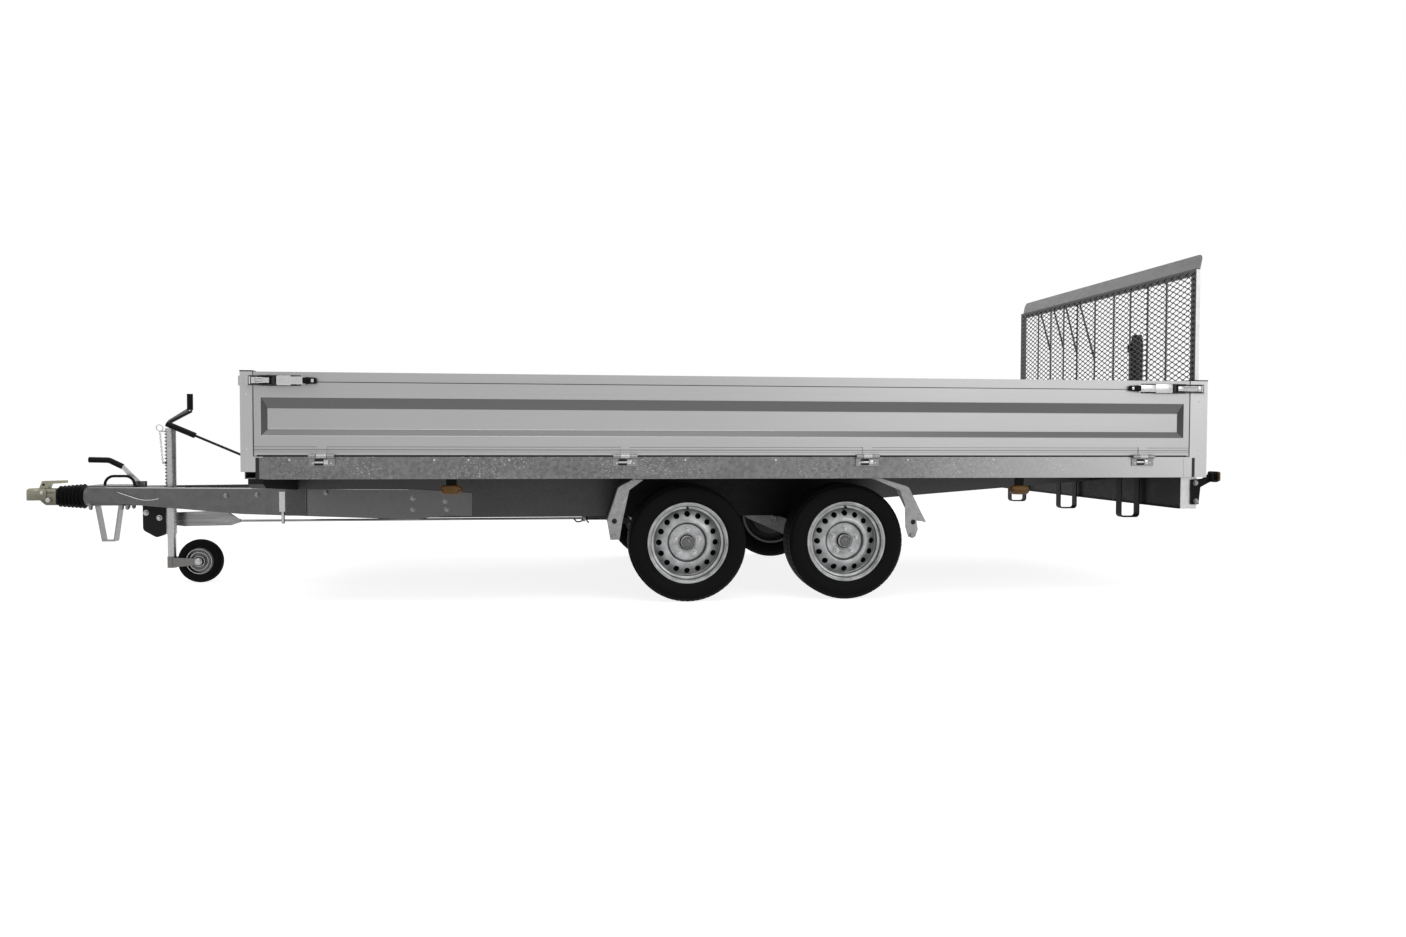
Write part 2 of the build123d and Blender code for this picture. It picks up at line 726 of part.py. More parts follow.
# Mudguards over each pair of wheels, with their end plates
guard_in = arm_out - 5.0
guard_out = wheel_y + tyre_w / 2 + 1.0
guard_t = 4.0
guard_front = wheelbase / 2 + 359
guard_rear = -wheelbase / 2 - 363
guard_low = tyre_r + 95
guard_line = (
    (guard_front, guard_low + 7),
    (guard_front - 48, frame_low - 41),
    (guard_front - 124, frame_low),
    (guard_rear + 223, frame_low),
    (guard_rear + 81, frame_low - 43),
    (guard_rear, guard_low - 7),
)
guard_bend = 30.0
with BuildPart() as mudguards:
    with BuildSketch(side_plane(guard_out)):
        with BuildLine():
            FilletPolyline(*guard_line, radius=guard_bend)
            offset(amount=guard_t, side=Side.LEFT)
        make_face()
    extrude(amount=guard_out - guard_in)
    plate(
        side_plane(guard_out + guard_t),
        (
            (guard_front, guard_low + 7),
            (guard_front - 14, guard_low - 75),
            (guard_front - 54, guard_low - 75),
            (guard_front - 67, guard_low + 7),
            (guard_front - 97, frame_low - 52),
            (guard_front - 159, frame_low - 7),
            (guard_front - 119, frame_low - 7),
            (guard_front - 51, frame_low - 43),
        ),
        guard_t,
    )
    plate(
        side_plane(guard_out + guard_t),
        (
            (guard_rear, guard_low - 7),
            (guard_rear + 44, guard_low - 2),
            (guard_rear + 38, guard_low - 42),
            (guard_rear + 50, guard_low - 75),
            (guard_rear + 82, guard_low - 75),
            (guard_rear + 96, guard_low - 30),
            (guard_rear + 99, guard_low + 71),
            (guard_rear + 123, frame_low - 57),
            (guard_rear + 243, frame_low - 7),
            (guard_rear + 218, frame_low - 7),
            (guard_rear + 83, frame_low - 45),
        ),
        guard_t,
    )
    mirror(about=Plane.XZ)
pieces["mudguards"] = mudguards

# Lamps: amber side markers on brackets, rubber-armed corner markers, rear lamps and a blank plate
lamp_w = 92.0
lamp_h = 42.0
lamp_y = bed_half - 41
corner_lamp_z = frame_low + 2
marker_table = tuple(
    (x, z, hand)
    for hand in (1, -1)
    for x, z in ((bed_front - 843, frame_low - 48), (bed_rear + 893, frame_low - 57))
)
with BuildPart() as lamp_holders:
    for x, z, hand in marker_table:
        block(x - 22, x + 22, hand * (lamp_y - 4), hand * lamp_y, z - 15, frame_low)
    for hand in (1, -1):
        plate(
            side_plane(tail_half + 10 if hand > 0 else -tail_half),
            (
                (tail_rear + 32, tail_low + 20),
                (tail_rear - 6, tail_low + 20),
                (tail_rear - 14, tail_low + 100),
                (lamp_tip + 60, corner_lamp_z - 24),
                (lamp_tip + 60, corner_lamp_z + 18),
                (tail_rear - 26, frame_low - 7),
                (tail_rear + 32, frame_low - 12),
            ),
            10,
        )
        with BuildSketch(side_plane(tail_half + 34 if hand > 0 else -tail_half + 4)):
            with Locations((lamp_tip + 50, corner_lamp_z)):
                RectangleRounded(32, 50, 10)
        extrude(amount=38)
pieces["lamp_holders"] = lamp_holders
with BuildPart() as amber_lenses:
    for x, z, hand in marker_table:
        with BuildSketch(side_plane(lamp_y + 22 if hand > 0 else -lamp_y)):
            with Locations((x, z)):
                SlotOverall(lamp_w, lamp_h)
        extrude(amount=22)
    for hand in (1, -1):
        with BuildSketch(side_plane(tail_half + 32 if hand > 0 else -tail_half + 2)):
            with Locations((lamp_tip + 17, corner_lamp_z)):
                RectangleRounded(34, 46, 12)
        extrude(amount=34)
pieces["amber_lenses"] = amber_lenses

with BuildPart() as rear_lamps:
    for y in (180 - tail_half, tail_half - 180):
        with BuildSketch(cross_plane(tail_rear - 26)):
            with Locations((y, (tail_low + frame_low) / 2)):
                RectangleRounded(240, 100, 14)
        extrude(amount=26)
pieces["rear_lamps"] = rear_lamps
with BuildPart() as number_plate:
    block(tail_rear - 4, tail_rear, -260, 260, tail_low + 19, frame_low - 18)
pieces["number_plate"] = number_plate

# Overrun housing, bellows and coupling
with BuildPart() as housing:
    block(housing_back, drawbar_front, -housing_half, housing_half, housing_low, drawbar_top)
    block(
        drawbar_front - 220, drawbar_front - 10,
        -drawbar_out(drawbar_front - 110), drawbar_out(drawbar_front - 110),
        drawbar_top, drawbar_top + plate_t,
    )
    rod(at(drawbar_front, 0, coupling_z), at(bellows_back, 0, coupling_z), 44)
    for hand in (1, -1):
        block(drawbar_front - 248, drawbar_front - 200, hand * 12, hand * 20, drawbar_top, drawbar_top + 26)
pieces["housing"] = housing

fold_count = 7
fold_r = 61.0
neck_r = 46.0
fold_pitch = (bellows_front - bellows_back) / fold_count
bellows_points = [(bellows_back, 0), (bellows_back, neck_r)]
for i in range(fold_count):
    bellows_points.append((bellows_back + (i + 0.5) * fold_pitch, fold_r - i * 1.5))
    bellows_points.append((bellows_back + (i + 1) * fold_pitch, neck_r - i * 1.5))
bellows_points.append((bellows_front, 0))
with BuildPart() as bellows:
    with BuildSketch(Plane(origin=at(0, 0, coupling_z), x_dir=(1, 0, 0), z_dir=(0, -1, 0))):
        with BuildLine():
            Polyline(*bellows_points, close=True)
        make_face()
    revolve(axis=Axis(at(0, 0, coupling_z), (1, 0, 0)))
pieces["bellows"] = bellows

head_r = 42.0
head_x = front_reach - head_r
head_top = coupling_z + 40
head_low = coupling_z - 18
neck_low = coupling_z - 43
cup_depth = 38.0
neck_half = 31.0
neck_bevel = 24.0
neck_front = head_x - 30
bolt_x = bellows_front + 34
with BuildPart() as coupling_head:
    with BuildSketch(Plane(origin=at(head_x, 0, head_low), z_dir=(0, 0, 1))):
        Circle(head_r)
        with Locations((-30, 0)):
            Rectangle(60, 2 * head_r - 12)
    extrude(amount=head_top - head_low)
    fillet(coupling_head.faces().sort_by(Axis.Z)[-1].edges(), 14)
    with BuildSketch(cross_plane(bellows_front)):
        with Locations((0, (neck_low + head_top) / 2)):
            RectangleRounded(2 * neck_half, head_top - neck_low, 16)
    extrude(amount=neck_front - bellows_front)
    plate(
        side_plane(neck_half),
        (
            (neck_front, neck_low),
            (neck_front, head_low),
            (neck_front - neck_bevel, neck_low),
        ),
        2 * neck_half,
        Mode.SUBTRACT,
    )
    rod(at(bolt_x, -neck_half - 8, coupling_z - 16), at(bolt_x, neck_half + 8, coupling_z - 16), 13)
    with BuildSketch(Plane(origin=at(head_x, 0, head_low), z_dir=(0, 0, 1))):
        Circle(ball_r)
    extrude(amount=cup_depth, mode=Mode.SUBTRACT)
pieces["coupling_head"] = coupling_head

with BuildPart() as coupling_handle:
    plate(
        side_plane(18),
        (
            (head_x - 62, head_top),
            (head_x - 20, head_top),
            (head_x - 34, head_top + 36),
            (bellows_front - 35, head_top + 39),
            (bellows_front - 35, head_top + 26),
            (head_x - 70, head_top + 22),
        ),
        36,
    )
pieces["coupling_handle"] = coupling_handle

guard_foot = housing_low - 178
guard_half = 27.0
with BuildPart() as nose_guard:
    plate(
        side_plane(guard_half),
        (
            (drawbar_front - 20, housing_low),
            (drawbar_front - 50, guard_foot),
            (drawbar_front - 110, guard_foot),
            (drawbar_front - 136, housing_low),
        ),
        2 * guard_half,
    )
    plate(
        side_plane(guard_half),
        (
            (drawbar_front - 27, housing_low),
            (drawbar_front - 56, guard_foot + 7),
            (drawbar_front - 104, guard_foot + 7),
            (drawbar_front - 129, housing_low),
        ),
        2 * guard_half,
        Mode.SUBTRACT,
    )
pieces["nose_guard"] = nose_guard

# Parking-brake lever, cranked up from the housing, and the arch of its cable
deck_z = drawbar_top + plate_t
grip_x = drawbar_front - 141
grip_z = drawbar_top + 98
with BuildPart() as brake_lever:
    plate(
        side_plane(6),
        (
            (drawbar_front - 240, deck_z),
            (drawbar_front - 208, deck_z),
            (grip_x + 4.5, grip_z - 8.9),
            (grip_x - 4.5, grip_z + 8.9),
        ),
        12,
    )
pieces["brake_lever"] = brake_lever
loop_y = 52.0
with BuildPart() as cable_arch:
    with BuildLine() as arch:
        FilletPolyline(
            at(drawbar_front - 78, loop_y, deck_z),
            at(drawbar_front - 78, loop_y, deck_z + 45),
            at(drawbar_front - 214, loop_y, deck_z + 45),
            at(drawbar_front - 214, loop_y, deck_z),
            radius=42,
        )
    with BuildSketch(Plane(origin=arch.line @ 0, z_dir=arch.line % 0)):
        Circle(6.5)
    sweep()
pieces["cable_arch"] = cable_arch

# Brake linkage under the drawbar: relay plate, tapered yoke, rod, balance bar and cable anchor
link_out = linkage_y + linkage_t / 2
relay_back = drawbar_front - 330
relay_round = 24.0
with BuildPart() as relay_plate:
    with BuildSketch(side_plane(link_out)) as relay_outline:
        with BuildLine():
            Polyline(
                (drawbar_front - 220, housing_low),
                (relay_back, housing_low),
                (relay_back, housing_low - 150),
                (relay_back + 46, housing_low - 166),
                (drawbar_front - 220, housing_low - 128),
                close=True,
            )
        make_face()
        fillet(relay_outline.vertices().sort_by(Axis.Y)[:3], relay_round)
    extrude(amount=linkage_t)
pieces["relay_plate"] = relay_plate
bar_x = anchor_x + 240
bar_t = 16.0
yoke_end = relay_back - 354
with BuildPart() as brake_rod:
    plate(
        side_plane(link_out),
        (
            (relay_back, rod_z + 44),
            (relay_back - 158, rod_z + 48),
            (relay_back - 280, rod_z + 54),
            (relay_back - 340, rod_z + 12),
            (yoke_end, rod_z + 8),
            (yoke_end, rod_z - 8),
            (relay_back - 312, rod_z - 22),
            (relay_back - 86, rod_z - 25),
            (relay_back, rod_z - 12),
        ),
        linkage_t,
    )
    rod(at(yoke_end, linkage_y, rod_z), at(bar_x + bar_t, linkage_y, rod_z), rod_r)
    block(bar_x, bar_x + bar_t, linkage_y - 90, linkage_y + 90, rod_z - 10, rod_z + 10)
    for step in (-75, -35, 35, 75):
        rod(at(bar_x, linkage_y + step, rod_z), at(anchor_x + 60, linkage_y + step, rod_z), 4)
pieces["brake_rod"] = brake_rod

# Hand lever standing on the bolster
lever_y = 120.0
lever_low = drawbar_top + 26
lever_foot = at(bolster_face + 10, lever_y, lever_low + 21)
lever_neck = at(bed_front + 466, lever_y, lever_low + 227)
lever_run = (Vector(*lever_neck) - Vector(*lever_foot)).normalized()
lever_tip = Vector(*lever_neck) + lever_run * 142
with BuildPart() as hand_lever:
    rod(lever_foot, lever_neck, 6)
    block(bolster_face, bolster_face + 24, lever_y - 14, lever_y + 14, lever_low, lever_low + 36)
pieces["hand_lever"] = hand_lever

# Jockey wheel: clamp, outer tube, crank, sliding leg, swivelling fork and wheel
clamp_low = drawbar_top - 53
clamp_top = drawbar_top - 8
clamp_half = 30.0
with BuildPart() as jockey_clamp:
    with BuildSketch(Plane.XY.offset(clamp_low)):
        with BuildLine():
            x0 = jockey_x - clamp_half
            x1 = jockey_x + clamp_half
            y0 = drawbar_out(x0) - beam_wall * stretch
            y1 = drawbar_out(x1) - beam_wall * stretch
            Polyline(at(x0, y0)[:2], at(x1, y1)[:2], at(x1, -y1)[:2], at(x0, -y0)[:2], close=True)
        make_face()
        with Locations(at(jockey_x, jockey_y)[:2]):
            Circle(jockey_tube_r + seat_gap, mode=Mode.SUBTRACT)
    extrude(amount=clamp_top - clamp_low)
pieces["jockey_clamp"] = jockey_clamp

with BuildPart() as jockey_tube:
    with BuildSketch(Plane.XY.offset(jockey_tube_low)):
        with Locations(at(jockey_x, jockey_y)[:2]):
            Circle(jockey_tube_r)
            Circle(jockey_leg_r + seat_gap, mode=Mode.SUBTRACT)
    extrude(amount=jockey_tube_top - jockey_tube_low)
    with Locations(at(jockey_x, jockey_y, jockey_tube_top)):
        Cylinder(jockey_tube_r + 2, 14, align=(Align.CENTER, Align.CENTER, Align.MIN))
pieces["jockey_tube"] = jockey_tube

knob_x = jockey_x - 92
crank_z = jockey_tube_top + 47
knob_z = crank_z + 57
with BuildPart() as jockey_crank:
    rod(at(jockey_x, jockey_y, jockey_tube_top + 14), at(jockey_x, jockey_y, crank_z), 8)
    plate(
        side_plane(jockey_y + 8),
        (
            (jockey_x + 8, crank_z - 14),
            (jockey_x + 8, crank_z),
            (knob_x - 8, knob_z),
            (knob_x - 8, knob_z - 11),
        ),
        16,
    )
pieces["jockey_crank"] = jockey_crank
with BuildPart() as lever_grips:
    with BuildLine() as grip_path:
        FilletPolyline(
            at(grip_x, 0, grip_z),
            at(drawbar_front - 78, 0, grip_z + 32),
            at(drawbar_front + 14, 0, grip_z + 34),
            radius=40,
        )
    with BuildSketch(Plane(origin=grip_path.line @ 0, z_dir=grip_path.line % 0)):
        Circle(14)
    sweep()
    rod(lever_neck, tuple(lever_tip), 14)
    rod(at(knob_x, jockey_y, knob_z), at(knob_x, jockey_y, knob_z + 80), 14)
pieces["lever_grips"] = lever_grips

with BuildPart() as jockey_leg:
    with Locations(at(jockey_x, jockey_y, jockey_leg_low)):
        Cylinder(jockey_leg_r, 480, align=(Align.CENTER, Align.CENTER, Align.MIN))
    rod(at(jockey_x, jockey_y, jockey_leg_low - 40), at(jockey_x, jockey_y, jockey_leg_low), swivel_pin_r)
pieces["jockey_leg"] = jockey_leg

hub_x = jockey_x - jockey_trail
fork_low = jockey_leg_low - 52
fork_top = jockey_leg_low - 4
arm_y = jockey_wheel_w / 2 + fork_gap
bridge_x = hub_x + jockey_wheel_r + fork_gap
with BuildPart() as jockey_fork:
    with BuildSketch(Plane.XY.offset(jockey_leg_low - 56)):
        with Locations(at(jockey_x, jockey_y)[:2]):
            Circle(jockey_tube_r - 2)
    extrude(amount=56 - seat_gap)
    block(bridge_x, jockey_x, jockey_y - 20, jockey_y + 20, fork_low, fork_top)
    fork_half = arm_y + fork_t
    block(bridge_x, bridge_x + fork_t, jockey_y - fork_half, jockey_y + fork_half, fork_low, fork_top)
    for hand in (1, -1):
        y0 = jockey_y + hand * arm_y
        y1 = jockey_y + hand * (arm_y + fork_t)
        plate(
            side_plane(max(y0, y1)),
            (
                (bridge_x + fork_t, fork_low),
                (bridge_x + fork_t, fork_top),
                (hub_x - 16, jockey_wheel_r + 14),
                (hub_x - 16, jockey_wheel_r - 14),
            ),
            fork_t,
        )
    rod(
        at(hub_x, jockey_y - arm_y, jockey_wheel_r), at(hub_x, jockey_y + arm_y, jockey_wheel_r),
        jockey_axle_r,
    )
    rod(
        at(jockey_x, jockey_y, jockey_leg_low - 41), at(jockey_x, jockey_y, jockey_leg_low),
        swivel_pin_r + pin_clear, Mode.SUBTRACT,
    )
pieces["jockey_fork"] = jockey_fork

jockey_hub = Plane(origin=at(hub_x, jockey_y, jockey_wheel_r), x_dir=(0, 1, 0), z_dir=(1, 0, 0))
jockey_rim_r = 66.0
half_jockey = jockey_wheel_w / 2
with BuildPart() as jockey_tyre:
    with BuildSketch(jockey_hub):
        with BuildLine():
            foot = jockey_rim_r + seat_gap
            crown = jockey_wheel_r - 6
            Line((-half_jockey + 6, foot), (half_jockey - 6, foot))
            ThreePointArc((half_jockey - 6, foot), (half_jockey, 84), (half_jockey - 8, crown))
            ThreePointArc((half_jockey - 8, crown), (0, jockey_wheel_r), (8 - half_jockey, crown))
            ThreePointArc((8 - half_jockey, crown), (-half_jockey, 84), (6 - half_jockey, foot))
        make_face()
    revolve(axis=Axis(jockey_hub.origin, jockey_hub.x_dir))
pieces["jockey_tyre"] = jockey_tyre
with BuildPart() as jockey_rim:
    with BuildSketch(jockey_hub):
        with BuildLine():
            Polyline(
                (-half_jockey, jockey_axle_r + pin_clear),
                (half_jockey, jockey_axle_r + pin_clear),
                (half_jockey, 20),
                (8, 24),
                (8, jockey_rim_r - 10),
                (half_jockey - 8, jockey_rim_r - 6),
                (half_jockey - 8, jockey_rim_r),
                (8 - half_jockey, jockey_rim_r),
                (8 - half_jockey, jockey_rim_r - 6),
                (-8, jockey_rim_r - 10),
                (-8, 24),
                (-half_jockey, 20),
                close=True,
            )
        make_face()
    revolve(axis=Axis(jockey_hub.origin, jockey_hub.x_dir))
pieces["jockey_rim"] = jockey_rim

for name, piece in pieces.items():
    piece.part.label = name
    export_step(piece.part, f"parts/{name}.step")
print(len(pieces), "pieces")
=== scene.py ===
import bpy
import bmesh
from math import cos, pi, radians, sin
from mathutils import Matrix, Quaternion, Vector


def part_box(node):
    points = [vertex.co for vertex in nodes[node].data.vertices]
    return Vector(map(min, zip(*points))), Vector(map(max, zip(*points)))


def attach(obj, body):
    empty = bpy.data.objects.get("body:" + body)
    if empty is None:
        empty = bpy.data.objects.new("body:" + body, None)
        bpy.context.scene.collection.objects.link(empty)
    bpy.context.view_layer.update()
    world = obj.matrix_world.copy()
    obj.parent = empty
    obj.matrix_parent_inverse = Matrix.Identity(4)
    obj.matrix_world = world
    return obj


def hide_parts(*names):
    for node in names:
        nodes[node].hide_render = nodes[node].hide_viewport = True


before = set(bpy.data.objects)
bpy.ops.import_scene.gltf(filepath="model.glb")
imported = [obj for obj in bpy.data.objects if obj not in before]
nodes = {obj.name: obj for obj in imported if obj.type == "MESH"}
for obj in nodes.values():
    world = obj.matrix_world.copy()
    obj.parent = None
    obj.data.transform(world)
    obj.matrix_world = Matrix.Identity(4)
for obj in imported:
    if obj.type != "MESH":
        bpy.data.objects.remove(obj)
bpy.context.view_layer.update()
print("frame loaded:", len(nodes), "pieces")
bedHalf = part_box("bed_beams")[1].y
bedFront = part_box("bed_beams")[1].x
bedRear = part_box("bed_beams")[0].x
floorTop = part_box("floor_board")[1].z


def middleOf(node):
    low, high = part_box(node)
    return (low + high) / 2


def facing(place, gaze, track="Z"):
    return Matrix.Translation(place) @ gaze.to_track_quat(track, "Y").to_matrix().to_4x4()


def linked(name, data):
    item = bpy.data.objects.new(name, data)
    bpy.context.scene.collection.objects.link(item)
    return item


# A socket that can be added, multiplied and compared like a number
class Sock:
    def __init__(self, tree, socket):
        self.tree = tree
        self.socket = socket

    def maths(self, operation, first, second):
        return self.tree.add("ShaderNodeMath", {"operation": operation}, {0: first, 1: second})

    def __add__(self, other):
        return self.maths("ADD", self, other)

    def __radd__(self, other):
        return self.maths("ADD", other, self)

    def __sub__(self, other):
        return self.maths("SUBTRACT", self, other)

    def __rsub__(self, other):
        return self.maths("SUBTRACT", other, self)

    def __mul__(self, other):
        return self.maths("MULTIPLY", self, other)

    def __rmul__(self, other):
        return self.maths("MULTIPLY", other, self)

    def __truediv__(self, other):
        return self.maths("DIVIDE", self, other)

    def __gt__(self, other):
        return self.maths("GREATER_THAN", self, other)

    def __lt__(self, other):
        return self.maths("LESS_THAN", self, other)


# Wraps a shader or geometry tree; add() makes any node
class Tree:
    def __init__(self, group):
        self.group = group

    def add(self, kind, settings=None, sockets=None, out=0):
        node = self.group.nodes.new(kind)
        for key, value in (settings or {}).items():
            setattr(node, key, value)
        for key, value in (sockets or {}).items():
            values = value if isinstance(value, list) else [value]
            for item in values:
                if isinstance(item, Sock):
                    self.group.links.new(item.socket, node.inputs[key])
                else:
                    node.inputs[key].default_value = item
        return Sock(self, node.outputs[out]) if len(node.outputs) else node


class Finish(Tree):
    def __init__(self, name):
        self.material = bpy.data.materials.new(name)
        self.material.use_nodes = True
        super().__init__(self.material.node_tree)
        self.group.nodes.clear()
        self.place = self.add("ShaderNodeTexCoord", out="Object")

    def stretched(self, x, y, z):
        return self.add("ShaderNodeMapping", {}, {"Vector": self.place, "Scale": (x, y, z)})

    def noise(self, scale, detail=3.0, vector=None, rough=0.55):
        sockets = {"Vector": vector or self.place, "Scale": scale, "Detail": detail, "Roughness": rough}
        return self.add("ShaderNodeTexNoise", {}, sockets, "Fac")

    def cells(self, scale, out="Color", vector=None):
        return self.add("ShaderNodeTexVoronoi", {}, {"Vector": vector or self.place, "Scale": scale}, out)

    def between(self, value, low, high, toLow=0.0, toHigh=1.0):
        sockets = {"Value": value, "From Min": low, "From Max": high, "To Min": toLow, "To Max": toHigh}
        return self.add("ShaderNodeMapRange", {"clamp": True}, sockets)

    def blendColour(self, factor, first, second):
        sockets = {0: factor, 6: first, 7: second}
        return self.add("ShaderNodeMix", {"data_type": "RGBA"}, sockets, 2)

    def axis(self, name):
        return self.add("ShaderNodeSeparateXYZ", {}, {0: self.place}, name)

    def absolute(self, value):
        return self.add("ShaderNodeMath", {"operation": "ABSOLUTE"}, {0: value})

    def bump(self, height, distance, strength=1.0):
        sockets = {"Height": height, "Distance": distance, "Strength": strength}
        return self.add("ShaderNodeBump", {}, sockets)

    def surface(self, **sockets):
        named = {key.replace("_", " "): value for key, value in sockets.items()}
        shader = self.add("ShaderNodeBsdfPrincipled", {}, named)
        self.add("ShaderNodeOutputMaterial", {}, {"Surface": shader})
        return self.material


def grey(level, warm=0.0):
    return (level * (1 + warm), level, level * (1 - 1.2 * warm), 1)


# Pressed shape of the boards, in metres: depth of the field, painted shade on its slopes, and seams from top
# or foot, each with a painted shade line
fieldSpec = {"sink": 0.016, "endStrip": 0.026, "endWidth": 0.06, "skin": 0.002, "slack": 0.0008,
             "shade": (0.70, 0.80), "endShade": 0.20,
             "seams": ((-0.041, 0.0022, 0.55), (0.036, 0.0022, 0.55), (0.027, 0.0016, 0.35))}


# Finishes
def galvanised(name, tone, contrast=0.25, speck=0.0, scale=70.0, rough=0.42, warm=0.0, streak=1.0, paintedLight=None,
               insideShade=None):
    f = Finish(name)
    grain = f.between(f.cells(scale, vector=f.stretched(streak, 1.0, 1.0)), 0.0, 1.0)
    cloud = f.noise(2.3, 4.0)
    smear = f.noise(9.0, 5.0, f.stretched(0.6, 1.0, 2.2))
    level = 0.5 * grain + 0.3 * cloud + 0.35 * smear
    colour = f.blendColour(level, grey(tone * (1 - contrast), warm), grey(tone * (1 + contrast), warm))
    if speck:
        patch = f.between(f.noise(3.1, 2.0), 0.42, 0.62)
        fleck = f.between(f.noise(190.0, 2.0, f.stretched(0.7, 1.0, 1.0)), 0.60, 0.68) * patch * speck
        colour = f.blendColour(fleck, colour, grey(min(1.0, tone * 2.6)))
    # Painted light and shade: along the given X ramps the colour goes to a lighter or darker grey
    if paintedLight:
        gain, *ramps = paintedLight
        share = 1.0
        for start, end in ramps:
            share = f.between(f.axis("X"), start, end) * share
        colour = f.blendColour(share, colour, grey(tone * gain))
    # Painted shade: darker towards the inner side
    if insideShade:
        reach = f.absolute(f.axis("Y"))
        colour = f.blendColour(f.between(reach, insideShade[1], insideShade[0]), colour, grey(tone * insideShade[2]))
    return f.surface(
        Base_Color=colour, Metallic=0.82, Roughness=rough + 0.18 * (grain - 0.5),
        Normal=f.bump(grain, 0.0002, 0.5),
    )


def drawnAluminium(name, tone, run, board=None):
    f = Finish(name)
    lines = f.noise(1.0, 3.0, f.stretched(*[1.2 if axis == run else 420.0 for axis in "XYZ"]))
    cloud = f.noise(1.1, 2.0)
    level = 0.55 * lines + 0.45 * cloud
    colour = f.blendColour(level, grey(tone * 0.86), grey(tone * 1.12))
    if board:
        # Painted shade on the field's slopes and seams
        colour = f.blendColour(boardShade(f, run, board), colour, grey(tone * 0.10))
    return f.surface(
        Base_Color=colour, Metallic=0.78, Roughness=0.36 + 0.14 * lines,
        Normal=f.bump(lines, 0.0002, 0.35),
    )


# Painted shade on the slopes of the sunk field and along the pressed seams, only on a board's outer skin
def boardShade(f, run, board):
    low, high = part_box(board)
    depth = "X" if run == "Y" else "Y"
    reach = f.absolute(f.axis(depth))
    skin = {"X": bedFront, "Y": bedHalf}[depth]
    slack = fieldSpec["slack"]
    slope = (reach < skin - slack) * (reach > skin - fieldSpec["sink"] + slack)
    up = f.axis("Z")
    shade = slope * f.between(up, low.z, high.z, *fieldSpec["shade"])
    first, last = (low.x, high.x) if run == "X" else (low.y, high.y)
    aside = f.absolute(f.axis(run) - (first + last) / 2)
    inward = ((last - first) / 2 - aside) / fieldSpec["endStrip"] - 1.0
    sunk = (skin - reach) / fieldSpec["sink"]
    apart = f.absolute(inward - sunk)
    shade = shade + slope * (apart < fieldSpec["endWidth"]) * fieldSpec["endShade"]
    for drop, width, weight in fieldSpec["seams"]:
        seam = low.z + drop if drop > 0 else high.z + drop
        line = (up > seam - width) * (up < seam + width) * (reach > skin - fieldSpec["skin"])
        shade = shade + line * weight
    return shade


def filmPlywood(name):
    f = Finish(name)
    grid = f.cells(95.0, "Distance")
    wear = f.noise(6.0, 5.0, f.stretched(0.25, 1.0, 1.0))
    colour = f.blendColour(wear, (0.055, 0.028, 0.016, 1), (0.12, 0.066, 0.038, 1))
    return f.surface(
        Base_Color=colour, Roughness=0.42 + 0.25 * wear,
        Normal=f.bump(f.between(grid, 0.2, 0.5), 0.0004, 0.6),
    )


# Painted shade in the hollows of the wheels: inner, middle and outer radius, and strength
hollowShadeRings = ((0.1390, 0.1470, 0.1530, 0.62), (0.0755, 0.0840, 0.0900, 0.55), (0.0320, 0.0370, 0.0440, 0.45),
             (0.1600, 0.1640, 0.1690, 0.55), (0.1060, 0.1260, 0.1420, 0.22))


def wheelSilver(name):
    f = Finish(name)
    flake = f.noise(900.0, 1.0)
    dust = f.between(f.noise(22.0, 5.0), 0.30, 0.70)
    colour = f.blendColour(0.3 * flake + 0.7 * dust, (0.17, 0.172, 0.175, 1), (0.50, 0.505, 0.51, 1))
    reach = f.absolute(f.axis("Y"))
    hub = middleOf("tyre_front_left")
    rise = f.axis("Z") - hub.z
    radii = []
    for wheel in ("tyre_front_left", "tyre_rear_left"):
        run = f.axis("X") - middleOf(wheel).x
        radii.append(f.add("ShaderNodeMath", {"operation": "SQRT"}, {0: run * run + rise * rise}))
    radius = f.add("ShaderNodeMath", {"operation": "MINIMUM"}, {0: radii[0], 1: radii[1]})
    # Painted shade on the rim's inner side and in the disc's hollows
    paintedShade = (reach < hub.y + 0.012) * 0.93
    for start, full, end, weight in hollowShadeRings:
        paintedShade = paintedShade + f.between(radius, start, full) * f.between(radius, end, full) * weight
    colour = f.blendColour(paintedShade, colour, grey(0.035))
    return f.surface(
        Base_Color=colour, Metallic=0.75, Roughness=0.30 + 0.12 * dust, Coat_Weight=0.15, Coat_Roughness=0.2,
        Normal=f.bump(flake, 0.0001, 0.2),
    )


def blackRubber(name, low=0.010, high=0.022, rough=0.62, scale=160.0):
    f = Finish(name)
    grain = f.noise(scale, 3.0)
    dust = f.noise(7.0, 4.0)
    colour = f.blendColour(0.4 * grain + 0.6 * dust, grey(low), grey(high))
    return f.surface(
        Base_Color=colour, Roughness=rough + 0.15 * dust, Specular_IOR_Level=0.07,
        Normal=f.bump(grain, 0.0003, 0.35),
    )


def paintedSteel(name, tone, rough=0.4):
    f = Finish(name)
    peel = f.noise(240.0, 2.0)
    dust = f.noise(5.0, 5.0)
    colour = f.blendColour(dust, grey(tone * 0.7), grey(tone * 1.4))
    return f.surface(
        Base_Color=colour, Roughness=rough + 0.2 * dust, Specular_IOR_Level=0.2,
        Normal=f.bump(peel, 0.0002, 0.3),
    )


def yellowZinc(name):
    f = Finish(name)
    cast = f.noise(120.0, 4.0)
    tint = f.noise(11.0, 3.0)
    colour = f.blendColour(0.6 * tint + 0.4 * cast, (0.12, 0.115, 0.08, 1), (0.50, 0.48, 0.37, 1))
    low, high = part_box("coupling_head")
    # Painted shade: darker towards the bottom of the coupling head
    colour = f.blendColour(f.between(f.axis("Z"), high.z, low.z, 0.0, 0.7), colour, (0.05, 0.048, 0.036, 1))
    return f.surface(
        Base_Color=colour, Metallic=0.75, Roughness=0.34 + 0.2 * cast, Normal=f.bump(cast, 0.0006, 0.5),
    )


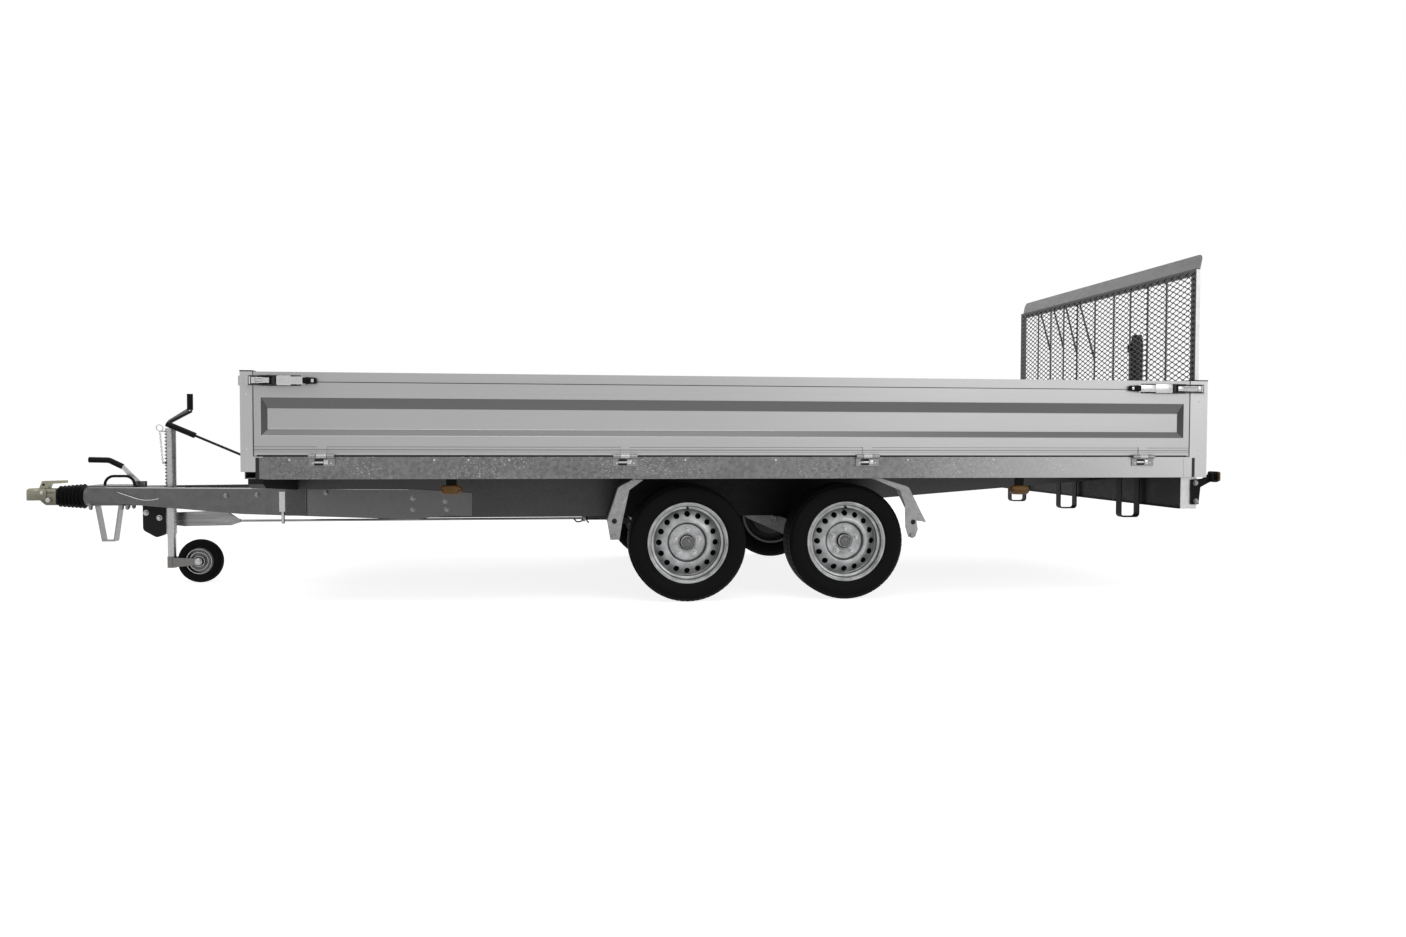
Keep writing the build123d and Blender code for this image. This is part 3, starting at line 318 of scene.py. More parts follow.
def lensPlastic(name, dark, bright, pitch):
    f = Finish(name)
    ribs = f.add("ShaderNodeTexWave", {"bands_direction": "X"}, {"Vector": f.place, "Scale": pitch}, "Fac")
    glow = f.noise(26.0, 2.0)
    colour = f.blendColour(0.55 * ribs + 0.45 * glow, dark, bright)
    return f.surface(
        Base_Color=colour, Roughness=0.20, Specular_IOR_Level=0.2, Coat_Weight=0.15, Coat_Roughness=0.05,
        Normal=f.bump(ribs, 0.0008, 0.4),
    )


def plateWhite(name):
    f = Finish(name)
    dust = f.noise(12.0, 4.0)
    colour = f.blendColour(dust, grey(0.66), grey(0.8))
    return f.surface(Base_Color=colour, Roughness=0.35 + 0.15 * dust)


finishes = {
    # bedBeam: painted light, lighter towards the rear end
    "bedBeam": galvanised("bedBeam", 0.155, 0.50, 1.0, paintedLight=(3.1, (-1.2, -2.75))),
    "chassis": galvanised("chassis", 0.112, 0.24, 0.15, 40.0, 0.34),
    # beamShade: painted shade, dark steel under the bed and darker still between the wheels
    "beamShade": galvanised("beamShade", 0.060, 0.40, 0.10, paintedLight=(0.16, (-1.36, -1.22), (0.06, -0.06))),
    # Painted shade: near-black steel for the axles, cross members and tail beam under the bed
    "underside": galvanised("underside", 0.030, 0.30, 0.0, rough=0.5),
    # guard: painted shade on the mudguard's inner side
    "guard": galvanised("guard", 0.25, 0.34, 0.4, insideShade=(0.88, 0.955, 0.10)),
    # Painted highlight: light grey for lit ends and edges next to shaded steel
    "endPlate": galvanised("endPlate", 0.50, 0.20, 0.2),
    "mesh": galvanised("mesh", 0.075, 0.25, 0.0, rough=0.45),
    "lip": galvanised("lip", 0.16, 0.24, 0.3, rough=0.5),
    "forkSteel": galvanised("forkSteel", 0.16, 0.30, 0.0, 220.0, 0.4, 0.03),
    "noseZinc": galvanised("noseZinc", 0.27, 0.40, 0.2, 120.0, 0.32),
    "hingeZinc": galvanised("hingeZinc", 0.23, 0.40, 0.0, 220.0, 0.32),
    "brightZinc": galvanised("brightZinc", 0.46, 0.32, 0.0, 220.0, 0.26),
    "latchZinc": galvanised("latchZinc", 0.50, 0.26, 0.0, 260.0, 0.24),
    "linkZinc": galvanised("linkZinc", 0.22, 0.80, 0.0, 110.0, 0.30, streak=0.06),
    "tubeZinc": galvanised("tubeZinc", 0.42, 0.30, 0.0, 260.0, 0.26),
    "capSteel": galvanised("capSteel", 0.11, 0.60, 0.0, 240.0, 0.30),
    "sideAluminium": drawnAluminium("sideAluminium", 0.42, "X", "board_left"),
    "frontAluminium": drawnAluminium("frontAluminium", 0.42, "Y", "front_board"),
    "postAluminium": drawnAluminium("postAluminium", 0.48, "Z"),
    "plywood": filmPlywood("plywood"),
    "silver": wheelSilver("silver"),
    "tyreRubber": blackRubber("tyreRubber", 0.0035, 0.009),
    "rubber": blackRubber("rubber", 0.006, 0.016, 0.5, 300.0),
    "plastic": blackRubber("plastic", 0.007, 0.015, 0.38, 700.0),
    "blackPaint": paintedSteel("blackPaint", 0.010),
    "darkSteel": paintedSteel("darkSteel", 0.035, 0.35),
    "zinc": yellowZinc("zinc"),
    "amber": lensPlastic("amber", (0.050, 0.020, 0.0006, 1), (0.23, 0.095, 0.003, 1), 110.0),
    "red": lensPlastic("red", (0.16, 0.003, 0.003, 1), (0.42, 0.012, 0.01, 1), 110.0),
    "plate": plateWhite("plate"),
}
finishOf = {
    "bed_beams": "bedBeam", "chassis_beams": "beamShade", "drawbar": "chassis", "axles": "underside",
    # Painted shade: the bolster takes the black finish for the shade under the bed
    "cross_members": "underside", "floor_board": "plywood", "bolster": "blackPaint",
    "tail_beam": "underside", "hoops": "blackPaint", "post_caps": "plastic",
    "corner_posts": "postAluminium", "board_left": "sideAluminium", "board_right": "sideAluminium",
    "front_board": "frontAluminium", "hinge_plates": "hingeZinc", "gate_frame": "mesh",
    "gate_mesh": "mesh", "gate_lip": "lip", "gate_leg": "blackPaint", "mudguards": "guard",
    "lamp_holders": "rubber", "amber_lenses": "amber", "rear_lamps": "red", "number_plate": "plate",
    "housing": "chassis", "bellows": "rubber", "coupling_head": "zinc", "coupling_handle": "zinc",
    "nose_guard": "noseZinc", "brake_lever": "brightZinc", "lever_grips": "plastic",
    "cable_arch": "rubber", "relay_plate": "blackPaint", "brake_rod": "linkZinc",
    "hand_lever": "blackPaint", "jockey_clamp": "chassis", "jockey_tube": "tubeZinc",
    "jockey_crank": "blackPaint", "jockey_leg": "tubeZinc", "jockey_fork": "forkSteel",
    "jockey_tyre": "tyreRubber", "jockey_rim": "capSteel",
}
familyFinish = {"tyre": "tyreRubber", "rim": "silver", "latches": "brightZinc", "grips": "plastic"}
for name, piece in nodes.items():
    finish = finishOf.get(name) or familyFinish[name.split("_")[0]]
    piece.data.materials.clear()
    piece.data.materials.append(finishes[finish])
print("finishes set:", len(finishes))


# Camera where the photographer stood, fitted to the wheels and the ground
cameraSpec = {"place": (0.2415, 5.6485, 0.7385), "yaw": 7.64, "pitch": -1.76, "roll": 0.17, "lens": 27.47}


def addCamera(spec):
    camera = linked("camera", bpy.data.cameras.new("camera"))
    yaw = radians(spec["yaw"])
    pitch = radians(spec["pitch"])
    gaze = Vector((-sin(yaw) * cos(pitch), -cos(yaw) * cos(pitch), sin(pitch)))
    turn = gaze.to_track_quat("-Z", "Y") @ Quaternion((0, 0, 1), radians(spec["roll"]))
    camera.matrix_world = Matrix.Translation(spec["place"]) @ turn.to_matrix().to_4x4()
    camera.data.lens = spec["lens"]
    camera.data.sensor_width = 36.0
    bpy.context.scene.camera = camera


# Pale floor, white surround and three soft lamps
lampTable = {
    "overhead": {"place": (0.6, 2.4, 4.6), "aim": (0, 0.3, 0.6), "size": (6.5, 3.0), "power": 120},
    "side": {"place": (-4.2, 5.6, 2.4), "aim": (-1.6, 0, 0.7), "size": (4.0, 2.5), "power": 62},
    "back": {"place": (-2.5, -5.0, 3.8), "aim": (-0.5, 0, 0.7), "size": (5.0, 2.0), "power": 70},
}
stageSpec = {"floorSize": 60.0, "floorGlow": 0.86, "floorTone": 0.5, "skyFill": 0.34}


def seenDirectly(tree):
    rays = [tree.add("ShaderNodeLightPath", out=name) for name in
            ("Is Camera Ray", "Is Glossy Ray", "Is Transmission Ray")]
    return rays[0] + rays[1] + rays[2] > 0.5


def addStage(spec):
    half = spec["floorSize"] / 2
    mesh = bpy.data.meshes.new("floor")
    corners = [(-half, -half, 0), (half, -half, 0), (half, half, 0), (-half, half, 0)]
    mesh.from_pydata(corners, [], [(0, 1, 2, 3)])
    floor = linked("floor", mesh)
    f = Finish("floor")
    dim = f.add("ShaderNodeBsdfDiffuse", {}, {"Color": grey(spec["floorTone"])})
    glow = f.add("ShaderNodeEmission", {}, {"Color": (1, 1, 1, 1), "Strength": spec["floorGlow"]})
    both = f.add("ShaderNodeAddShader", {}, {0: dim, 1: glow})
    mixed = f.add("ShaderNodeMixShader", {}, {0: seenDirectly(f), 1: dim, 2: both})
    f.add("ShaderNodeOutputMaterial", {}, {"Surface": mixed})
    mesh.materials.append(f.material)
    world = bpy.data.worlds.new("surround")
    world.use_nodes = True
    bpy.context.scene.world = world
    sky = Tree(world.node_tree)
    sky.group.nodes.clear()
    fill = sky.add("ShaderNodeBackground", {}, {"Color": (1, 1, 1, 1), "Strength": spec["skyFill"]})
    white = sky.add("ShaderNodeBackground", {}, {"Color": (1, 1, 1, 1), "Strength": 1.0})
    mixed = sky.add("ShaderNodeMixShader", {}, {0: seenDirectly(sky), 1: fill, 2: white})
    sky.add("ShaderNodeOutputWorld", {}, {"Surface": mixed})


def addLamps(table):
    for name, spec in table.items():
        light = bpy.data.lights.new(name, "AREA")
        light.shape = "RECTANGLE"
        light.size, light.size_y = spec["size"]
        light.energy = spec["power"]
        lamp = linked(name, light)
        gaze = Vector(spec["aim"]) - Vector(spec["place"])
        lamp.matrix_world = facing(spec["place"], gaze, "-Z")


addCamera(cameraSpec)
addStage(stageSpec)
addLamps(lampTable)
bpy.context.scene.view_settings.view_transform = "Standard"
print("camera, floor and lamps set")


# Wraps a geometry tree with named inputs, ending in real mesh with its finish
class Shape(Tree):
    def __init__(self, name, inputs):
        super().__init__(bpy.data.node_groups.new(name, "GeometryNodeTree"))
        self.group.interface.new_socket("Geometry", in_out="INPUT", socket_type="NodeSocketGeometry")
        for label, kind in inputs.items():
            self.group.interface.new_socket(label, in_out="INPUT", socket_type="NodeSocket" + kind)
        self.group.interface.new_socket("Geometry", in_out="OUTPUT", socket_type="NodeSocketGeometry")
        self.entry = self.group.nodes.new("NodeGroupInput")

    def given(self, label):
        return Sock(self, self.entry.outputs[label])

    def vector(self, x=0.0, y=0.0, z=0.0):
        return self.add("ShaderNodeCombineXYZ", {}, {0: x, 1: y, 2: z})

    def moved(self, geometry, offset, turn=(0, 0, 0), scale=(1, 1, 1)):
        sockets = {"Geometry": geometry, "Translation": offset, "Rotation": turn, "Scale": scale}
        return self.add("GeometryNodeTransform", {}, sockets)

    def joined(self, *parts):
        return self.add("GeometryNodeJoinGeometry", {}, {0: list(parts)})

    def spread(self, points, instance, turn):
        sockets = {"Points": points, "Instance": instance, "Rotation": turn}
        return self.add("GeometryNodeInstanceOnPoints", {}, sockets)

    def aimed(self, instance):
        aim = self.add("GeometryNodeInputNamedAttribute", {"data_type": "FLOAT_VECTOR"}, {"Name": "aim"})
        turn = self.add("FunctionNodeAlignRotationToVector", {"axis": "Z"}, {"Vector": aim})
        return self.spread(self.given("Geometry"), instance, turn)

    def cylinder(self, sides, radius, depth):
        sockets = {"Vertices": sides, "Radius": radius, "Depth": depth}
        return self.add("GeometryNodeMeshCylinder", {}, sockets)

    def ring(self, count, radius):
        return self.add("GeometryNodeMeshCircle", {}, {"Vertices": count, "Radius": radius})

    def loop(self, steps, radius):
        return self.add("GeometryNodeCurvePrimitiveCircle", {}, {"Resolution": steps, "Radius": radius})

    def swept(self, curve, profile, caps=False):
        sockets = {"Curve": curve, "Profile Curve": profile, "Fill Caps": caps}
        return self.add("GeometryNodeCurveToMesh", {}, sockets)

    def finished(self, geometry, finish):
        real = self.add("GeometryNodeRealizeInstances", {}, {0: geometry})
        coated = self.add("GeometryNodeSetMaterial", {}, {"Geometry": real, "Material": finishes[finish]})
        self.add("NodeGroupOutput", {}, {0: coated})
        return self


def runShape(shape, name, values, base=None):
    holder = linked(name, base or bpy.data.meshes.new(name))
    modifier = holder.modifiers.new("shape", "NODES")
    modifier.node_group = shape.group
    for item in shape.group.interface.items_tree:
        if item.in_out == "INPUT" and item.name in values:
            modifier[item.identifier] = values[item.name]
    graph = bpy.context.evaluated_depsgraph_get()
    mesh = bpy.data.meshes.new_from_object(holder.evaluated_get(graph))
    holder.modifiers.remove(modifier)
    holder.data = mesh
    return holder


# Mesh helpers: rounded boxes, rods, turned rings and bent wires
def addBox(bm, low, high, bevel=0.0, steps=2):
    made = bmesh.ops.create_cube(bm, size=1.0)["verts"]
    size = Vector(high) - Vector(low)
    middle = (Vector(high) + Vector(low)) / 2
    for vert in made:
        vert.co = vert.co * size + middle
    if bevel:
        edges = list({edge for vert in made for edge in vert.link_edges})
        bmesh.ops.bevel(bm, geom=edges, offset=bevel, segments=steps, affect="EDGES", profile=0.5)


def addRod(bm, start, end, radius, sides=14, tip=None):
    run = Vector(end) - Vector(start)
    middle = (Vector(start) + Vector(end)) / 2
    bmesh.ops.create_cone(
        bm, cap_ends=True, segments=sides, radius1=radius, radius2=radius if tip is None else tip,
        depth=run.length, matrix=facing(middle, run),
    )


def addTurned(bm, profile, sides=48, closed=False, place=None):
    rings = []
    for height, radius in profile:
        count = sides if radius > 1e-6 else 1
        ring = [bm.verts.new((radius * cos(2 * pi * i / sides), radius * sin(2 * pi * i / sides), height))
                for i in range(count)]
        rings.append(ring)
    pairs = list(zip(rings, rings[1:]))
    if closed:
        pairs.append((rings[-1], rings[0]))
    made = []
    for first, second in pairs:
        for i in range(sides):
            j = (i + 1) % sides
            turns = ((first, i), (first, j), (second, j), (second, i))
            corners = [ring[k % len(ring)] for ring, k in turns]
            made.append(bm.faces.new(list(dict.fromkeys(corners))))
    bmesh.ops.recalc_face_normals(bm, faces=made)
    added = [vert for ring in rings for vert in ring]
    if place:
        bmesh.ops.transform(bm, matrix=place, verts=added)
    return added


def smoothed(mesh, sharp):
    mesh.shade_smooth()
    mesh.set_sharp_from_angle(angle=radians(sharp))
    return mesh


def meshFrom(bm, name, place=None, sharp=38.0):
    mesh = bpy.data.meshes.new(name)
    if place is not None:
        bmesh.ops.transform(bm, matrix=place, verts=bm.verts)
    bm.to_mesh(mesh)
    bm.free()
    return smoothed(mesh, sharp)


def bentWire(name, points, radius, order=3):
    curve = bpy.data.curves.new(name, "CURVE")
    curve.dimensions = "3D"
    curve.bevel_depth = radius
    curve.bevel_resolution = 3
    curve.use_fill_caps = True
    spline = curve.splines.new("NURBS")
    spline.points.add(len(points) - 1)
    for point, place in zip(spline.points, points):
        point.co = (*place, 1)
    spline.order_u = order
    spline.use_endpoint_u = True
    spline.resolution_u = 10
    holder = bpy.data.objects.new(name, curve)
    mesh = bpy.data.meshes.new_from_object(holder)
    bpy.data.objects.remove(holder)
    mesh.shade_smooth()
    return mesh


def addPiece(name, mesh, finish, body, stands=()):
    piece = linked(name, mesh)
    mesh.materials.clear()
    mesh.materials.append(finishes[finish])
    return settle(piece, body, stands)


def settle(piece, body, stands=()):
    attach(piece, body)
    if stands:
        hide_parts(*stands)
    return piece


def addSolid(name, bm, finish, body="chassis", stands=(), place=None):
    return addPiece(name, meshFrom(bm, name, place), finish, body, stands)


def merge(target, bm, place):
    part = meshFrom(bm, "part", place)
    target.from_mesh(part)
    bpy.data.meshes.remove(part)


def mergeShape(target, shape, values):
    part = runShape(shape, "part", values)
    target.from_mesh(part.data)
    bpy.data.objects.remove(part)


def outward(name):
    return Vector((0, 1 if "left" in name else -1, 0))


# Road tyres: moulded carcass and rows of tread blocks
wheelNames = ("front_left", "front_right", "rear_left", "rear_right")
tyreSpec = {
    "beadR": 0.1668, "beadHalf": 0.0700, "flangeR": 0.1830, "wallHalf": 0.0970, "treadHalf": 0.0800,
    "treadBase": 0.2550, "treadTop": 0.2622, "rooted": 0.003, "crown": 0.0022, "crownHalf": 0.0725,
    "inset": 0.0003, "blocks": 68, "sides": 128,
    "wall": ((-0.010, 0.005), (-0.0065, 0.011), (-0.0070, 0.014), (-0.0025, 0.022), (-0.0004, 0.032),
             (-0.0006, 0.044), (0.0, 0.0445), (0.0, 0.0465), (-0.0010, 0.047), (-0.0040, 0.057),
             (-0.0042, 0.0585)),
    "rows": ((0.0, 0.0190, 0.0232, 0.0), (0.0250, 0.0220, 0.0215, 0.30), (-0.0250, 0.0220, 0.0215, 0.30),
             (0.0560, 0.0300, 0.0226, -0.12), (-0.0560, 0.0300, 0.0226, -0.12)),
}


def carcassHalf(spec):
    bead = spec["beadHalf"]
    flange = spec["flangeR"]
    base = spec["treadBase"]
    return [
        (bead, spec["beadR"]), (bead + 0.001, flange - 0.002), (bead + 0.009, flange),
        *[(spec["wallHalf"] + aside, flange + rise) for aside, rise in spec["wall"]],
        (spec["wallHalf"] - 0.0095, base - 0.006), (spec["treadHalf"], base),
        (spec["treadHalf"] * 0.5, base + 0.0012), (0.0, base + 0.0016),
    ]


def treadShape():
    shape = Shape("treadRow", {"Count": "Int", "Radius": "Float", "Aside": "Float", "Width": "Float",
                               "Length": "Float", "Height": "Float", "Skew": "Float"})
    size = shape.vector(shape.given("Height"), shape.given("Length"), shape.given("Width"))
    block = shape.add("GeometryNodeMeshCube", {}, {"Size": size})
    skewed = shape.moved(block, (0, 0, 0), shape.vector(shape.given("Skew")))
    ring = shape.ring(shape.given("Count"), shape.given("Radius"))
    angle = shape.add("GeometryNodeInputIndex") * (2 * pi) / shape.given("Count")
    blocks = shape.spread(ring, skewed, shape.vector(0, 0, angle))
    return shape.finished(shape.moved(blocks, shape.vector(0, 0, shape.given("Aside"))), "tyreRubber")


def buildTyres(spec):
    bm = bmesh.new()
    half = carcassHalf(spec)
    profile = half + [(-height, radius) for height, radius in reversed(half[:-1])]
    addTurned(bm, profile, spec["sides"], closed=True)
    tread = treadShape()
    blockHeight = spec["treadTop"] - spec["treadBase"] + spec["rooted"]
    for aside, width, length, skew in spec["rows"]:
        drop = spec["crown"] * (aside / spec["crownHalf"]) ** 2 + spec["inset"]
        mergeShape(bm, tread, {
            "Count": spec["blocks"], "Radius": spec["treadTop"] - drop - blockHeight / 2, "Aside": aside,
            "Width": width, "Length": length, "Height": blockHeight, "Skew": skew if aside > 0 else -skew,
        })
    moulded = meshFrom(bm, "tyre")
    for name in wheelNames:
        mesh = moulded.copy()
        mesh.transform(Matrix.Translation(middleOf("tyre_" + name)) @ Matrix.Rotation(radians(90), 4, "X"))
        addPiece("roadTyre_" + name, mesh, "tyreRubber", "wheel_" + name, ["tyre_" + name])
    print("tyres made:", len(wheelNames))


buildTyres(tyreSpec)


# Fasteners: hexagon bolts on washers, and domed rivets, set on points that carry their direction
def hexShape(finish):
    shape = Shape("hexBolts", {"Across": "Float", "Height": "Float", "Washer": "Float"})
    across = shape.given("Across")
    height = shape.given("Height")
    washerT = 0.0022
    washer = shape.cylinder(20, shape.given("Washer"), 2 * washerT)
    head = shape.cylinder(6, across * 0.577, height)
    crown = shape.add("GeometryNodeMeshCone", {}, {"Vertices": 18, "Radius Bottom": across * 0.49,
                                                   "Radius Top": across * 0.40, "Depth": height * 0.18})
    stem = shape.cylinder(12, across * 0.30, height)
    parts = [shape.moved(part, shape.vector(0, 0, height * rise + washerT))
             for part, rise in ((head, 0.5), (crown, 1.0), (stem, 0.9))]
    return shape.finished(shape.aimed(shape.joined(washer, *parts)), finish)


def rivetShape(finish):
    shape = Shape("rivets", {"Radius": "Float"})
    sockets = {"Segments": 14, "Rings": 8, "Radius": shape.given("Radius")}
    ball = shape.add("GeometryNodeMeshUVSphere", {}, sockets)
    dome = shape.moved(ball, (0, 0, 0), (0, 0, 0), (1, 1, 0.5))
    return shape.finished(shape.aimed(dome), finish)


def pointsFrom(name, places):
    mesh = bpy.data.meshes.new(name)
    mesh.from_pydata([place for place, aim in places], [], [])
    aims = mesh.attributes.new("aim", "FLOAT_VECTOR", "POINT")
    for item, (place, aim) in zip(aims.data, places):
        item.vector = aim
    return mesh


def addFasteners(shape, name, places, values, body="chassis"):
    piece = runShape(shape, name, values, pointsFrom(name, places))
    smoothed(piece.data, 35)
    settle(piece, body)


def boltSize(across, height, washer):
    return {"Across": across, "Height": height, "Washer": washer}


zincBolts = hexShape("brightZinc")
frameBolts = hexShape("hingeZinc")
zincRivets = rivetShape("brightZinc")
darkRivets = rivetShape("blackPaint")
left = Vector((0, 1, 0))
upward = Vector((0, 0, 1))
sideHinges = (1.216, -0.040, -1.112, -2.414)
endHinges = (-0.700, 0.0, 0.700)


def bothSides(places):
    flipped = [(Vector((p[0], -p[1], p[2])), Vector((a[0], -a[1], a[2]))) for p, a in places]
    return [(Vector(p), Vector(a)) for p, a in places] + flipped


# Outer face of the drawbar, straight and then turned in to the nose
drawbarSpec = {"bend": 0.936, "bendY": 0.380, "slope": -0.2}


def drawbarFace(x, z, lift=0.0):
    spec = drawbarSpec
    y = spec["bendY"] + spec["slope"] * max(0.0, x - spec["bend"])
    aim = Vector((-spec["slope"] if x > spec["bend"] else 0.0, 1, 0)).normalized()
    return Vector((x, y, z)) + aim * lift, aim


# Places of the bolts and rivets as x and z, with the faces they sit on
boltSpec = {
    "drawbar": ((1.840, 0.441), (1.688, 0.445), (1.354, 0.458), (0.936, 0.434), (0.936, 0.381),
                (0.785, 0.420), (0.777, 0.380)),
    "arm": ((-2.692, 0.525), (-2.696, 0.440)), "armIn": 0.020,
    "guard": ((0.005, 0.298), (-1.342, 0.290)), "guardHoles": ((0.003, 0.364), (-1.347, 0.350)),
    "padX": (-0.174, -0.894), "padY": 0.350, "padZ": 0.335, "padHalfX": 0.06, "padHalfY": 0.028,
    "relay": ((2.290, 0.344), (2.227, 0.318)),
    "hingeOut": 0.006, "hingeHalf": 0.036, "hingeZ": 0.620,
    "postX": (bedFront - 0.024, bedRear + 0.043), "postZ": (0.675, 0.90),
    "beamX": (1.346, 0.762, 0.621, 0.451, -0.300, -0.700, -1.300, -1.700, -2.126, -2.328), "beamZ": 0.632,
    "floorRows": 9, "floorPitch": 0.3, "floorIn": 0.025,
}


def onSide(places, y):
    return [((x, y, z), left) for x, z in places]


def addBolts(spec):
    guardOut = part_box("mudguards")[1].y
    holes = bothSides(onSide(spec["guardHoles"], guardOut))
    addFasteners(darkRivets, "guardHoles", holes, {"Radius": 0.0115})
    bolts = [drawbarFace(x, z) for x, z in spec["drawbar"]]
    bolts += onSide(spec["arm"], bedHalf - spec["armIn"]) + onSide(spec["guard"], guardOut)
    bolts += [((x + dx, spec["padY"] + dy, spec["padZ"]), -upward) for x in spec["padX"]
              for dx in (-spec["padHalfX"], spec["padHalfX"]) for dy in (-spec["padHalfY"], spec["padHalfY"])]
    addFasteners(frameBolts, "frameBolts", bothSides(bolts), boltSize(0.017, 0.008, 0.0125))
    relayBolts = onSide(spec["relay"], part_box("relay_plate")[1].y)
    addFasteners(zincBolts, "relayBolts", relayBolts, boltSize(0.019, 0.009, 0.014))
    rivets = [((x + dx, bedHalf + spec["hingeOut"], spec["hingeZ"]), left) for x in sideHinges
              for dx in (-spec["hingeHalf"], spec["hingeHalf"])]
    rivets += onSide([(x, z) for x in spec["postX"] for z in spec["postZ"]], bedHalf)
    rivets += onSide([(x, spec["beamZ"]) for x in spec["beamX"]], bedHalf)
    addFasteners(zincRivets, "sideRivets", bothSides(rivets), {"Radius": 0.0048})
    low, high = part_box("cross_members")
    front = high.x - spec["floorIn"]
    rear = low.x + spec["floorIn"]
    screws = []
    for i in range(spec["floorRows"]):
        x = front + (rear - front) * i / (spec["floorRows"] - 1)
        screws += [(Vector((x, y * spec["floorPitch"], floorTop)), upward) for y in range(-3, 4)]
    addFasteners(zincRivets, "floorScrews", screws, {"Radius": 0.0065})
    print("bolts, screws and rivets set")


addBolts(boltSpec)


# Rims: rolled flange, ledges and a drilled disc, over a dark brake drum
rimSpec = {
    "vents": 16, "ventCircle": 0.1265, "ventR": 0.0130, "sides": 96,
    "profile": ((0.0205, 0.0), (0.0205, 0.0790), (0.0255, 0.0850), (0.0400, 0.0900), (0.0440, 0.0960),
                (0.0420, 0.1050), (0.0215, 0.1450), (0.0190, 0.1582), (-0.0700, 0.1582), (-0.0765, 0.1640),
                (-0.0780, 0.1700), (-0.0780, 0.1792), (-0.0766, 0.1810), (-0.0736, 0.1810), (-0.0724, 0.1795),
                (-0.0724, 0.1660), (0.0724, 0.1660), (0.0724, 0.1795), (0.0736, 0.1810), (0.0762, 0.1810),
                (0.0780, 0.1796), (0.0780, 0.1735), (0.0768, 0.1716), (0.0735, 0.1704), (0.0715, 0.1650),
                (0.0690, 0.1632), (0.0560, 0.1622), (0.0535, 0.1606), (0.0522, 0.1540), (0.0500, 0.1512),
                (0.0380, 0.1502), (0.0320, 0.1485), (0.0290, 0.1445), (0.0310, 0.1405), (0.0470, 0.1085),
                (0.0500, 0.1020), (0.0512, 0.0960), (0.0505, 0.0915), (0.0475, 0.0880), (0.0380, 0.0835),
                (0.0330, 0.0800), (0.0320, 0.0765), (0.0320, 0.0420), (0.0335, 0.0400), (0.0335, 0.0345),
                (0.0320, 0.0330), (0.0320, 0.0300), (0.0480, 0.0300), (0.0520, 0.0255), (0.0520, 0.0)),
    "drum": ((-0.0050, 0.0), (-0.0050, 0.02205), (-0.0580, 0.02205), (-0.0580, 0.1180), (-0.0560, 0.1250),
             (-0.0300, 0.1250), (-0.0300, 0.1572), (-0.0250, 0.1572), (-0.0240, 0.1250), (0.0020, 0.1250),
             (0.0090, 0.1180), (0.0100, 0.1160), (0.0100, 0.0850), (0.0195, 0.0780), (0.0195, 0.0)),
}


def rimShape():
    shape = Shape("ventedRim", {"Count": "Int", "Circle": "Float", "Radius": "Float"})
    drill = shape.cylinder(22, shape.given("Radius"), 0.06)
    ring = shape.ring(shape.given("Count"), shape.given("Circle"))
    drills = shape.spread(ring, shape.moved(drill, (0, 0, 0.042)), (0, 0, 0))
    real = shape.add("GeometryNodeRealizeInstances", {}, {0: drills})
    sockets = {"Mesh 1": shape.given("Geometry"), "Mesh 2": real}
    drilled = shape.add("GeometryNodeMeshBoolean", {"operation": "DIFFERENCE", "solver": "EXACT"}, sockets)
    return shape.finished(drilled, "silver")


def buildRims(spec):
    bm = bmesh.new()
    addTurned(bm, spec["profile"], spec["sides"])
    values = {"Count": spec["vents"], "Circle": spec["ventCircle"], "Radius": spec["ventR"]}
    blank = runShape(rimShape(), "ventedRim", values, meshFrom(bm, "rim"))
    drilled = smoothed(blank.data, 32)
    bpy.data.objects.remove(blank)
    bm = bmesh.new()
    addTurned(bm, spec["drum"], 64)
    drum = meshFrom(bm, "drum")
    for name in wheelNames:
        place = facing(middleOf("tyre_" + name), outward(name))
        for label, mesh, finish, slot in (("roadRim_", drilled, "silver", "silver"),
                                          ("wheelDrum_", drum, "blackPaint", "dark_steel")):
            made = mesh.copy()
            made.transform(place)
            addPiece(label + name, made, finish, "wheel_" + name, ["rim_" + name])
    print("rims made:", len(drilled.polygons), "faces each")


buildRims(rimSpec)


# Wheel fittings: five bolts, a plain cap in its dark ring, and a valve
wheelSpec = {
    "bolts": 5, "boltTurn": 0.35, "boltCircle": 0.056, "face": 0.032, "ringR": 0.0335, "valveR": 0.150,
    "capFace": 0.052,
    "ring": ((-0.003, 0.0), (0.009, 0.0), (0.011, -0.002), (0.009, -0.0042), (-0.003, -0.0042)),
    "cap": ((-0.002, 0.0), (-0.002, 0.0252), (0.0008, 0.0248), (0.0028, 0.0228), (0.0030, 0.0200),
            (0.0016, 0.0188), (0.0016, 0.0120), (0.0028, 0.0106), (0.0034, 0.0)),
}


